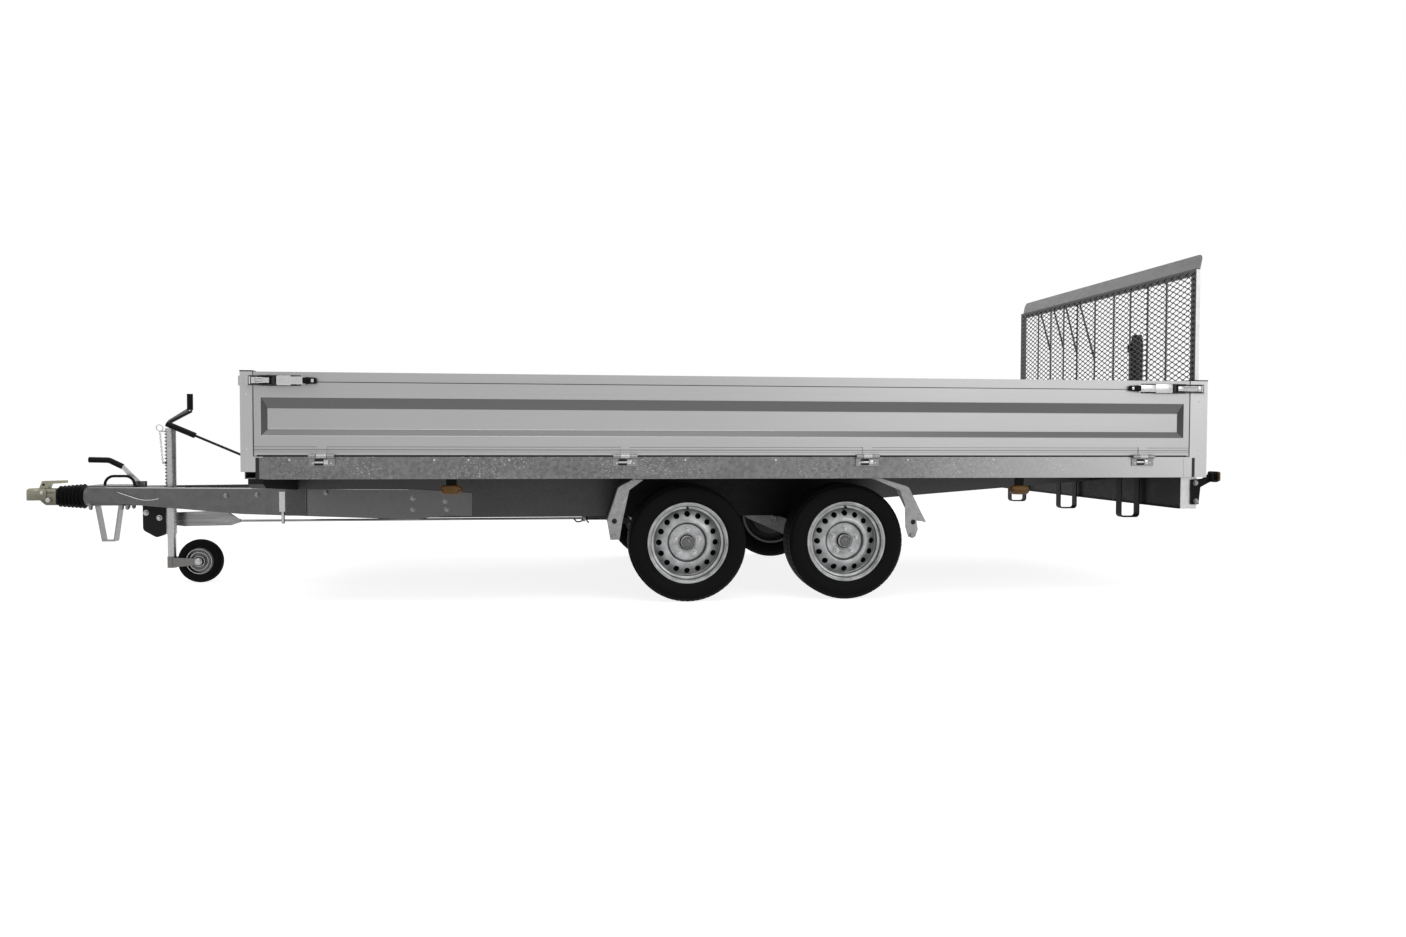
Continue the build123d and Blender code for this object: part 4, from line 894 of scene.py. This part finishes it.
def addWheelFittings(name, spec):
    out = outward(name)
    middle = middleOf("tyre_" + name)
    place = facing(middle, out)
    body = "wheel_" + name
    bolts = []
    for i in range(spec["bolts"]):
        angle = 2 * pi * i / spec["bolts"] + spec["boltTurn"]
        spot = Vector((spec["boltCircle"] * cos(angle), 0, spec["boltCircle"] * sin(angle)))
        bolts.append((middle + spot + out * spec["face"], out))
    addFasteners(zincBolts, "wheelBolts_" + name, bolts, boltSize(0.017, 0.014, 0.0135), body)
    bm = bmesh.new()
    profile = [(spec["face"] + height, spec["ringR"] + radius) for height, radius in spec["ring"]]
    addTurned(bm, profile, 40, True)
    valve = spec["valveR"]
    addRod(bm, (0, valve, 0.024), (0, valve + 0.002, 0.056), 0.0042, 12)
    addRod(bm, (0, valve + 0.002, 0.054), (0, valve + 0.003, 0.066), 0.0050, 10)
    addSolid("capRing_" + name, bm, "plastic", body, place=place)
    bm = bmesh.new()
    addTurned(bm, [(spec["capFace"] + height, radius) for height, radius in spec["cap"]], 40)
    addSolid("hubCap_" + name, bm, "capSteel", body, place=place)


for wheelName in wheelNames:
    addWheelFittings(wheelName, wheelSpec)
print("wheel fittings set")


# Over-centre latches: base plate, ears, drum, channel lever and wire bail, with a moulded grip
latchSpec = {
    "plateHalf": 0.022, "plateT": 0.004, "earX": 0.062, "drumX": 0.082, "leverX": 0.094, "leverHalf": 0.0205,
    "leverTip": 0.0160, "leverTop": 0.0185, "bailHalf": 0.009, "wireR": 0.0033, "gripLength": 0.056,
    "gripHalf": 0.0148, "gripTaper": 0.22, "gripDip": 0.0022, "rivetY": 0.0165,
}
boardLow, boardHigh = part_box("board_left")
latchZ = middleOf("grips_board_left").z
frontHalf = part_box("front_board")[1].y
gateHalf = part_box("gate_lip")[1].y
# Body, start, run, outward, reach over the post, length and how deep the base sits
latchTable = [(body, (x, hand * bedHalf, latchZ), (run, 0, 0), (0, hand, 0), over, length, 0.0)
              for body, hand in (("side_left", 1), ("side_right", -1))
              for x, run, over, length in ((boardHigh.x, -1, 0.016, 0.252), (boardLow.x, 1, 0.060, 0.303))]
latchTable += [(body, (x, hand * half, latchZ), (0, -hand, 0), (out, 0, 0), over, 0.252, sunk)
               for body, x, half, out, over, sunk in (("front_wall", bedFront, frontHalf, 1, 0.016, 0.0),
                                                      ("tail_gate", bedRear, gateHalf, -1, 0.022, 0.002))
               for hand in (1, -1)]


def latchBase(spec, over, length, sunk):
    bm = bmesh.new()
    half = spec["plateHalf"]
    addBox(bm, (0.020, -half, -sunk), (length - 0.065, half, spec["plateT"]), 0.0015)
    addRod(bm, (spec["earX"], -half, 0.012), (spec["earX"], half, 0.012), 0.0045)
    addRod(bm, (spec["drumX"], -0.0155, 0.012), (spec["drumX"], 0.0155, 0.012), 0.0078, 20)
    # Ears, lever cheeks and keeper arms
    cheeks = ((0.046, 0.098, 0.0185, 0.0016, 0.003, 0.0190, 0.0011),
              (0.088, length - 0.078, 0.0150, 0.0022, 0.004, 0.0165, 0.0009),
              (-over + 0.002, 0.040, 0.0170, 0.0025, 0.005, 0.0120, 0.0012))
    for side in (1, -1):
        for x0, x1, aside, thick, z0, z1, bevel in cheeks:
            addBox(bm, (x0, side * aside - thick, z0), (x1, side * aside + thick, z1), bevel)
    return bm


def latchSteel(spec, over, length):
    bm = bmesh.new()
    top = spec["leverTop"]
    leverEnd = length - spec["gripLength"] + 0.012
    middle = (spec["leverX"] + leverEnd) / 2
    # Lever in two widths, keeper, bail block and the lever's tongue
    blocks = ((spec["leverX"], middle, spec["leverHalf"], top - 0.003, top, 0.0012),
              (middle - 0.004, leverEnd, spec["leverTip"], top - 0.004, top - 0.0004, 0.0012),
              (-over + 0.010, -over + 0.026, 0.0125, 0.0055, 0.0160, 0.0015),
              (0.040, 0.066, 0.0110, 0.0060, 0.0172, 0.0020),
              (length - 0.021, length - 0.010, 0.0070, 0.0120, 0.0196, 0.0010))
    for x0, x1, half, z0, z1, bevel in blocks:
        addBox(bm, (x0, -half, z0), (x1, half, z1), bevel)
    for share in (-1, -1 / 3, 1 / 3, 1):
        bail = spec["bailHalf"] * share
        addRod(bm, (-over + 0.020, bail, 0.0110), (spec["earX"], bail, 0.0120), spec["wireR"] * 0.8)
    addRod(bm, (-over + 0.003, -0.0150, 0.0105), (-over + 0.003, 0.0150, 0.0105), 0.0042)
    for x in (0.029, length - 0.075):
        for y in (-spec["rivetY"], spec["rivetY"]):
            addRod(bm, (x, y, 0.003), (x, y, 0.0062), 0.0036, 12, 0.0026)
    return bm


def latchGrip(spec, length):
    bm = bmesh.new()
    start = length - spec["gripLength"]
    half = spec["gripHalf"]
    addBox(bm, (start, -half, 0.004), (length, half, 0.0205), 0.0055, 3)
    for vert in bm.verts:
        along = max(0.0, (vert.co.x - start) / spec["gripLength"])
        vert.co.y *= 1 - spec["gripTaper"] * along * along
        vert.co.z -= spec["gripDip"] * along
    for i in range(2):
        x = start + 0.016 + 0.009 * i
        addBox(bm, (x, -half * 0.72, 0.018), (x + 0.004, half * 0.72, 0.0216), 0.0012)
    return bm


def buildLatches(spec, table):
    for body, owner in (("side_left", "board_left"), ("side_right", "board_right"),
                        ("front_wall", "front_board"), ("tail_gate", "gate")):
        base = bmesh.new()
        steel = bmesh.new()
        grips = bmesh.new()
        for rider, start, run, out, over, length, sunk in table:
            if rider != body:
                continue
            across = Vector(out).cross(Vector(run))
            place = Matrix.Translation(start) @ Matrix((run, across, out)).transposed().to_4x4()
            merge(base, latchBase(spec, over, length, sunk), place)
            merge(steel, latchSteel(spec, over, length), place)
            merge(grips, latchGrip(spec, length), place)
        addSolid("latchBase_" + owner, base, "darkSteel", body, stands=["latches_" + owner])
        addSolid("latchSteel_" + owner, steel, "latchZinc", body)
        addSolid("latchGrip_" + owner, grips, "plastic", body, ["grips_" + owner])
    print("latches made:", len(table))


buildLatches(latchSpec, latchTable)


# Hinges: windows in the plate, a bright catch between them, and a rubber seal under each board
hingeSpec = {
    "windows": ((-0.019, -0.010), (-0.037, -0.028)), "windowX": (-0.007, 0.030), "catchX": (-0.026, -0.008),
    "catchZ": (-0.032, -0.014), "barZ": (-0.0265, -0.0195), "face": 0.006, "rearDrop": 0.008,
    "sealFoot": 0.005, "sealT": 0.0048, "sealLap": 0.0020, "sealOut": 0.0008, "sealDeep": 0.020,
    "sealEnd": 0.01,
}


def hingeTrim(spec):
    dark = bmesh.new()
    bright = bmesh.new()
    blocks = [(dark, spec["windowX"], window, 0.0008, 0.0005, 1) for window in spec["windows"]]
    blocks += [(bright, spec["windowX"], spec["barZ"], 0.0022, 0.0012, 2),
               (bright, spec["catchX"], spec["catchZ"], 0.0040, 0.0018, 2)]
    for bm, (x0, x1), (z0, z1), proud, bevel, steps in blocks:
        addBox(bm, (x0, spec["face"] - 0.001, z0), (x1, spec["face"] + proud, z1), bevel, steps)
    return dark, bright


def buildHinges(spec):
    dark = bmesh.new()
    bright = bmesh.new()
    spots = [((x, hand * bedHalf, floorTop), (1, 0, 0), (0, hand, 0)) for x in sideHinges for hand in (1, -1)]
    spots += [((bedFront, y, floorTop), (0, -1, 0), (1, 0, 0)) for y in endHinges]
    rearZ = floorTop - spec["rearDrop"]
    spots += [((bedRear, y, rearZ), (0, 1, 0), (-1, 0, 0)) for y in endHinges]
    for start, run, out in spots:
        place = Matrix.Translation(start) @ Matrix((run, out, (0, 0, 1))).transposed().to_4x4()
        for target, made in zip((dark, bright), hingeTrim(spec)):
            merge(target, made, place)
    for bm, name, finish in ((dark, "hingeWindows", "blackPaint"), (bright, "hingeCatches", "latchZinc")):
        bmesh.ops.recalc_face_normals(bm, faces=bm.faces)
        addSolid(name, bm, finish)
    foot = floorTop + spec["sealFoot"]
    for body, board in (("side_left", "board_left"), ("side_right", "board_right"),
                        ("front_wall", "front_board")):
        low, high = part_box(board)
        if board == "front_board":
            spanX = (bedFront - spec["sealDeep"], bedFront + spec["sealOut"])
            spanY = (low.y + spec["sealEnd"], high.y - spec["sealEnd"])
        else:
            hand = outward(board).y
            spanX = (low.x + spec["sealEnd"], high.x - spec["sealEnd"])
            spanY = sorted((hand * (bedHalf + spec["sealOut"]), hand * (bedHalf - spec["sealDeep"])))
        seal = bmesh.new()
        addBox(seal, (spanX[0], spanY[0], foot - spec["sealT"]), (spanX[1], spanY[1], foot + spec["sealLap"]),
               0.0008)
        addSolid("seal_" + board, seal, "rubber", body)
    print("hinge trim and seals made")


buildHinges(hingeSpec)


# Plates and edges: tail beam ends and gate edges as painted highlights, drawbar splice and hanger with a
# painted highlight along the drawbar edge, coupling with painted shade in its seams, posts with painted shade
# in their gaps, and jockey hub
plateSpec = {
    "endT": 0.0015, "endX": 0.080, "splice": (1.452, 1.545, 0.350, 0.472),
    "strap": (1.549, 1.577, 0.366, 0.462), "hook": (1.556, 1.566, 0.311, 0.366),
    "highlightR": 0.0022, "edge": (0.95, 1.30, 1.70, 2.10, 2.515),
}
couplingSpec = {
    "seams": ((2.7535, 2.7570, 0.414, 0.468), (2.690, 2.7520, 0.4470, 0.4505),
              (2.6815, 2.6840, 0.392, 0.466)),
    "bolts": ((0.034, 0.039, -0.056), (0.064, 0.031, -0.020)), "pinX": 2.744, "pinZ": 0.488,
    "noseX": (2.520, 2.376, 2.350), "noseY": 0.040, "noseZ": 0.386,
}
postSpec = {"wide": 0.059, "gap": 0.015, "cover": 0.055, "low": 0.5535, "high": 0.642, "proud": 0.0012,
            "gateX": (0.0025, 0.0215), "gateZ": (0.700, 1.522)}
hubSpec = {"rings": (0.060, 0.044, 0.026), "steps": 6, "deep": 0.0030, "wide": 0.0022}


def addPatch(bm, window, near, far):
    x0, x1, z0, z1 = window
    corners = ((x0, z0), (x1, z0), (x1, z1), (x0, z1))
    inner = [bm.verts.new(drawbarFace(x, z, near)[0]) for x, z in corners]
    outer = [bm.verts.new(drawbarFace(x, z, far)[0]) for x, z in corners]
    made = [bm.faces.new(inner), bm.faces.new(outer)]
    for i in range(4):
        j = (i + 1) % 4
        made.append(bm.faces.new((inner[i], inner[j], outer[j], outer[i])))
    bmesh.ops.recalc_face_normals(bm, faces=made)


def mirrored(bm):
    made = bmesh.ops.duplicate(bm, geom=bm.verts[:] + bm.edges[:] + bm.faces[:])["geom"]
    for item in made:
        if isinstance(item, bmesh.types.BMVert):
            item.co.y = -item.co.y
    bmesh.ops.recalc_face_normals(bm, faces=bm.faces)
    return bm


def buildPlates(spec):
    low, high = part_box("tail_beam")
    # Painted highlight: light plates on the outer ends of the shaded tail beam
    ends = bmesh.new()
    addBox(ends, (low.x, high.y, low.z), (low.x + spec["endX"], high.y + spec["endT"], high.z), 0.0005, 1)
    addSolid("tailEndHighlights", mirrored(ends), "endPlate")
    splice = bmesh.new()
    addPatch(splice, spec["splice"], 0.005, 0.0072)
    addSolid("splicePlates", mirrored(splice), "beamShade")
    bright = bmesh.new()
    addPatch(bright, spec["strap"], 0.005, 0.0090)
    addPatch(bright, spec["hook"], 0.004, 0.0085)
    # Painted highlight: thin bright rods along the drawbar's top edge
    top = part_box("drawbar")[1].z - spec["highlightR"]
    places = [drawbarFace(x, top, 0.0006)[0] for x in spec["edge"]]
    for first, second in zip(places, places[1:]):
        addRod(bright, first, second, spec["highlightR"], 8)
    addSolid("drawbarHangerAndHighlight", mirrored(bright), "brightZinc")


def buildCoupling(spec):
    low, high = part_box("coupling_head")
    bolts = [((low.x + x, y, high.z + z), left) for x, y, z in spec["bolts"]]
    addFasteners(zincBolts, "couplingBolts", bothSides(bolts), boltSize(0.016, 0.007, 0.0115))
    # Painted shade: dark strips in the seams and the gap under the handle, and a dark rod for the pin hole
    seams = bmesh.new()
    for x0, x1, z0, z1 in spec["seams"]:
        addBox(seams, (x0, 0.0300, z0), (x1, 0.0316, z1), 0.0006, 1)
    addRod(seams, (spec["pinX"], 0.0, spec["pinZ"]), (spec["pinX"], 0.0192, spec["pinZ"]), 0.0060)
    addSolid("couplingSeamShade", mirrored(seams), "blackPaint")
    noseBolts = [((x, spec["noseY"], spec["noseZ"]), -upward) for x in spec["noseX"]]
    addFasteners(frameBolts, "noseBolts", bothSides(noseBolts), boltSize(0.017, 0.014, 0.0125))


def buildEdges(spec):
    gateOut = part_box("gate_frame")[1].y
    # Painted highlight: a light strip on each gate upright
    edges = bmesh.new()
    addBox(edges, (bedRear + spec["gateX"][0], gateOut - 0.0005, spec["gateZ"][0]),
           (bedRear + spec["gateX"][1], gateOut + spec["proud"], spec["gateZ"][1]), 0.0005, 1)
    addSolid("gateEdgeHighlights", mirrored(edges), "endPlate", "tail_gate")
    # Painted shade: a dark strip in the gap between each post and the bed beam
    gap = (spec["wide"], spec["wide"] + spec["gap"])
    cover = (gap[1], spec["wide"] + spec["cover"])
    for end, inner, suffix in ((bedFront, -1, "_front"), (bedRear, 1, "_rear")):
        for label, reach, finish in (("postGap", gap, "darkSteel"), ("beamEnd", cover, "bedBeam")):
            x0, x1 = sorted(end + inner * distance for distance in reach)
            bm = bmesh.new()
            addBox(bm, (x0, bedHalf - 0.001, spec["low"]), (x1, bedHalf + spec["proud"], spec["high"]))
            addSolid(label + suffix, mirrored(bm), finish)


# Ring round a circle, as height and radius
def ringProfile(radius, steps, deep, wide):
    angles = [2 * pi * i / steps for i in range(steps)]
    return [(deep * sin(angle), radius + wide * cos(angle)) for angle in angles]


def buildHub(spec):
    wheel = middleOf("jockey_rim")
    rings = bmesh.new()
    place = facing((wheel.x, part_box("jockey_rim")[1].y, wheel.z), left)
    for radius in spec["rings"]:
        profile = ringProfile(radius, spec["steps"], spec["deep"], spec["wide"])
        addTurned(rings, profile, 40, True, place)
    addSolid("jockeyRings", rings, "brightZinc", "jockey_roller")
    axleNut = [(Vector((wheel.x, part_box("jockey_fork")[1].y, wheel.z)), left)]
    addFasteners(zincBolts, "jockeyNut", axleNut, boltSize(0.024, 0.010, 0.017), "jockey_castor")


buildPlates(plateSpec)
buildCoupling(couplingSpec)
buildEdges(postSpec)
buildHub(hubSpec)
print("plates and nuts set")


# Lamps: domed side markers, corner lenses, and rear lamps in three parts
lampSpec = {
    "markerR": 0.021, "markerSpread": 0.025, "markerDeep": 0.022, "markerIn": 0.041,
    "markers": ((0.696, 0.504), (-1.840, 0.495)), "screwAside": 0.034, "screwOut": 0.0195,
    "cornerY": 0.985, "cornerZ": 0.531, "corner": (0.034, 0.034, 0.046),
    "sideX": (0.038, 0.062), "sideZ": (0.537, 0.571), "sideOut": 0.004, "sideDeep": 0.010,
    "rearWide": 0.240, "rearIn": 0.007, "lensGap": 0.005, "lensRim": 0.008, "lensDeep": 0.014,
    "plateEdge": 0.010, "plateProud": 0.004,
}


def markerDome(bm, spec, place):
    radius = spec["markerR"]
    deep = spec["markerDeep"]
    added = addTurned(bm, [(0.0, 0.0), (0.0, radius), (deep * 0.42, radius), (deep * 0.50, radius - 0.0018),
                           (deep * 0.78, radius - 0.0040), (deep * 0.95, radius * 0.50), (deep, 0.0)], 40)
    for vert in added:
        vert.co.x += spec["markerSpread"] * max(-1.0, min(1.0, vert.co.x / (0.35 * radius)))
    bmesh.ops.transform(bm, matrix=place, verts=added)


def buildMarkers(spec):
    amber = bmesh.new()
    screws = []
    for hand in (1, -1):
        out = Vector((0, hand, 0))
        turn = Matrix(((1, 0, 0), (0, 0, -hand), out)).transposed().to_4x4()
        for x, z in spec["markers"]:
            spot = Vector((x, hand * (bedHalf - spec["markerIn"]), z))
            markerDome(amber, spec, Matrix.Translation(spot) @ turn)
            screws += [(spot + Vector((dx, 0, 0)) + out * spec["screwOut"], out) for dx in
                       (-spec["screwAside"], spec["screwAside"])]
        size = Vector(spec["corner"])
        low = Vector((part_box("amber_lenses")[0].x, hand * spec["cornerY"] - size.y / 2, spec["cornerZ"]))
        addBox(amber, low, low + size, 0.008, 3)
        face = hand * (bedHalf + spec["sideOut"])
        ends = sorted((face, face - hand * spec["sideDeep"]))
        addBox(amber, (low.x + spec["sideX"][0], ends[0], spec["sideZ"][0]),
               (low.x + spec["sideX"][1], ends[1], spec["sideZ"][1]), 0.003)
    addSolid("amberLenses", amber, "amber", stands=["amber_lenses"])
    addFasteners(darkRivets, "markerScrews", screws, {"Radius": 0.0046})


def buildRearLamps(spec):
    low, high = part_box("rear_lamps")
    body = bmesh.new()
    lenses = {"red": bmesh.new(), "amber": bmesh.new(), "plate": bmesh.new()}
    inner = high.y - spec["rearWide"]
    wide = spec["rearWide"] / 3
    for hand in (1, -1):
        y0, y1 = sorted((hand * inner, hand * high.y))
        addBox(body, (low.x + spec["rearIn"], y0, low.z), (high.x, y1, high.z), 0.006, 3)
        for i, tint in enumerate(("plate", "red", "amber")):
            start = hand * (inner + i * wide)
            y0, y1 = sorted((start + hand * spec["lensGap"], start + hand * (wide - spec["lensGap"])))
            addBox(lenses[tint], (low.x, y0, low.z + spec["lensRim"]),
                   (low.x + spec["lensDeep"], y1, high.z - spec["lensRim"]), 0.004, 2)
    addSolid("rearLampBody", body, "plastic", stands=["rear_lamps"])
    for tint, bm in lenses.items():
        addSolid("rearLens_" + tint, bm, tint)


def buildPlateRim(spec):
    low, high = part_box("number_plate")
    rim = bmesh.new()
    edge = spec["plateEdge"]
    for y0, y1, z0, z1 in ((low.y, high.y, low.z, low.z + edge), (low.y, high.y, high.z - edge, high.z),
                           (low.y, low.y + edge, low.z, high.z), (high.y - edge, high.y, low.z, high.z)):
        addBox(rim, (low.x - spec["plateProud"], y0, z0), (high.x, y1, z1), 0.0015)
    addSolid("plateRim", rim, "plastic")


buildMarkers(lampSpec)
buildRearLamps(lampSpec)
buildPlateRim(lampSpec)
print("lamps made")


# Jockey wheel tube: pressed ribs, and the pull pin's ring on its chain
jockeySpec = {
    "ribs": 15, "pitch": 0.0172, "ribR": 0.0246, "ribT": 0.0018, "ribAhead": 0.0024, "ribLow": 0.497,
    "chainLinks": 15, "linkR": 0.0042, "linkWire": 0.0014, "chainTop": (2.188, 0.060, 0.748),
    "chainFoot": (2.177, 0.058, 0.604), "pin": (2.190, 0.058, 0.768), "pinTilt": 78.0, "ringR": 0.0155,
    "ringWire": 0.0022, "crankX": 2.148, "crankZ": 0.800, "crankTurn": -147.0,
}
tubeMiddle = middleOf("jockey_tube")


def ribShape():
    shape = Shape("tubeRibs", {"Count": "Int", "Pitch": "Float", "Radius": "Float", "Thick": "Float"})
    sockets = {"Resolution": 18, "Radius": shape.given("Radius"), "Start Angle": -1.0, "Sweep Angle": 2.0}
    arc = shape.add("GeometryNodeCurveArc", {}, sockets)
    ridge = shape.swept(arc, shape.loop(8, shape.given("Thick")), True)
    ring = shape.moved(ridge, (0, 0, 0), (0, 0, 0), (1, 1, 1.7))
    line = shape.add("GeometryNodeMeshLine", {}, {"Count": shape.given("Count"),
                                                  "Offset": shape.vector(0, 0, shape.given("Pitch"))})
    return shape.finished(shape.spread(line, ring, (0, 0, 0)), "chassis")


def chainShape():
    shape = Shape("pinChain", {"Count": "Int", "From": "Vector", "To": "Vector", "Radius": "Float",
                               "Wire": "Float"})
    loop = shape.loop(14, shape.given("Radius"))
    oval = shape.moved(loop, (0, 0, 0), (0, pi / 2, 0), (1, 1, 1.65))
    link = shape.swept(oval, shape.loop(6, shape.given("Wire")))
    ends = {"Start": shape.given("From"), "End": shape.given("To")}
    line = shape.add("GeometryNodeCurvePrimitiveLine", {}, ends)
    spots = shape.add("GeometryNodeResampleCurve", {}, {"Curve": line, "Count": shape.given("Count")})
    points = shape.add("GeometryNodeCurveToPoints", {}, {"Curve": spots, "Count": shape.given("Count")})
    index = shape.add("GeometryNodeInputIndex")
    odd = shape.add("ShaderNodeMath", {"operation": "MODULO"}, {0: index, 1: 2.0})
    return shape.finished(shape.spread(points, link, shape.vector(0, 0, odd * (pi / 2) + 0.6)), "brightZinc")


def buildJockeyTrim(spec):
    ribs = runShape(ribShape(), "tubeRibs", {
        "Count": spec["ribs"], "Pitch": spec["pitch"], "Radius": spec["ribR"], "Thick": spec["ribT"],
    })
    ribs.data.transform(Matrix.Translation((tubeMiddle.x + spec["ribAhead"], tubeMiddle.y, spec["ribLow"])))
    smoothed(ribs.data, 35)
    settle(ribs, "chassis")
    pin = Vector(spec["pin"])
    bm = bmesh.new()
    addTurned(bm, ringProfile(spec["ringR"], 8, spec["ringWire"], spec["ringWire"]), 28, True,
              Matrix.Translation(pin) @ Matrix.Rotation(radians(spec["pinTilt"]), 4, "X"))
    addRod(bm, (tubeMiddle.x + 0.016, tubeMiddle.y + 0.010, 0.750), (pin.x - 0.004, pin.y, 0.7535), 0.0036)
    addBox(bm, (tubeMiddle.x + 0.020, tubeMiddle.y + 0.006, 0.590), (2.180, 0.060, 0.602), 0.002)
    addSolid("pinRing", bm, "brightZinc")
    chain = runShape(chainShape(), "pinChain", {
        "Count": spec["chainLinks"], "From": spec["chainTop"], "To": spec["chainFoot"],
        "Radius": spec["linkR"], "Wire": spec["linkWire"],
    })
    chain.data.shade_smooth()
    settle(chain, "chassis")
    arm = bmesh.new()
    addBox(arm, (-0.006, -0.006, -0.010), (0.104, 0.006, 0.010), 0.003)
    turn = Matrix.Rotation(radians(spec["crankTurn"]), 4, "Y")
    place = Matrix.Translation((spec["crankX"], tubeMiddle.y, spec["crankZ"])) @ turn
    addSolid("crankArm", arm, "chassis", place=place)
    print("jockey trim made")


buildJockeyTrim(jockeySpec)


# Safety wire hooked along the near drawbar beam
wireSpec = {"radius": 0.0026, "route": ((2.378, 0.456, -0.004), (2.376, 0.455, 0.006), (2.330, 0.441, 0.007),
                                       (2.262, 0.418, 0.007), (2.215, 0.416, 0.007), (2.178, 0.421, 0.006),
                                       (2.174, 0.424, -0.004))}
route = [drawbarFace(x, z, lift)[0] for x, z, lift in wireSpec["route"]]
addPiece("hookWire", bentWire("hookWire", route, wireSpec["radius"]), "brightZinc", "chassis")


# Small hooks that carry the brake rod ahead of the front wheels
hookSpec = {"radius": 0.0038, "aside": 0.045,
            "runs": (((0.166, 0.304), (0.151, 0.288), (0.129, 0.290), (0.119, 0.304)),
                     ((0.101, 0.311), (0.098, 0.291), (0.087, 0.284)))}
hooks = bmesh.new()
for run in hookSpec["runs"]:
    bends = [(x, hookSpec["aside"], z) for x, z in run]
    for first, second in zip(bends, bends[1:]):
        addRod(hooks, first, second, hookSpec["radius"], 10)
addSolid("rodHooks", hooks, "blackPaint")


# Bonds where the expanded mesh's strands meet
bondSpec = {"long": 0.062, "short": 0.026, "size": (0.015, 0.0060, 0.0056), "edgeY": 0.012, "edgeZ": 0.008}


def bondShape():
    shape = Shape("meshBonds", {"Wide": "Float", "Tall": "Float", "Across": "Int", "Up": "Int",
                                "Size": "Vector"})
    sockets = {"Size X": shape.given("Wide"), "Size Y": shape.given("Tall"),
               "Vertices X": shape.given("Across"), "Vertices Y": shape.given("Up")}
    grid = shape.add("GeometryNodeMeshGrid", {}, sockets)
    bond = shape.add("GeometryNodeMeshCube", {}, {"Size": shape.given("Size")})
    return shape.finished(shape.spread(grid, bond, (0, 0, 0)), "mesh")


def buildBonds(spec):
    low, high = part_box("gate_mesh")
    middle = (low + high) / 2
    shape = bondShape()
    both = bmesh.new()
    for shift in (0.0, 0.5):
        across = int((high.y - middle.y - spec["edgeY"]) / spec["long"] - shift) * 2 + 1 + int(2 * shift)
        tall = int((high.z - middle.z - spec["edgeZ"]) / spec["short"] - shift) * 2 + 1 + int(2 * shift)
        mergeShape(both, shape, {
            "Wide": (across - 1) * spec["long"], "Tall": (tall - 1) * spec["short"], "Across": across,
            "Up": tall, "Size": spec["size"],
        })
    place = Matrix.Translation(middle) @ Matrix(((0, 0, 1, 0), (1, 0, 0, 0), (0, 1, 0, 0), (0, 0, 0, 1)))
    addSolid("meshBonds", both, "mesh", "tail_gate", place=place)
    print("mesh bonds set")


buildBonds(bondSpec)
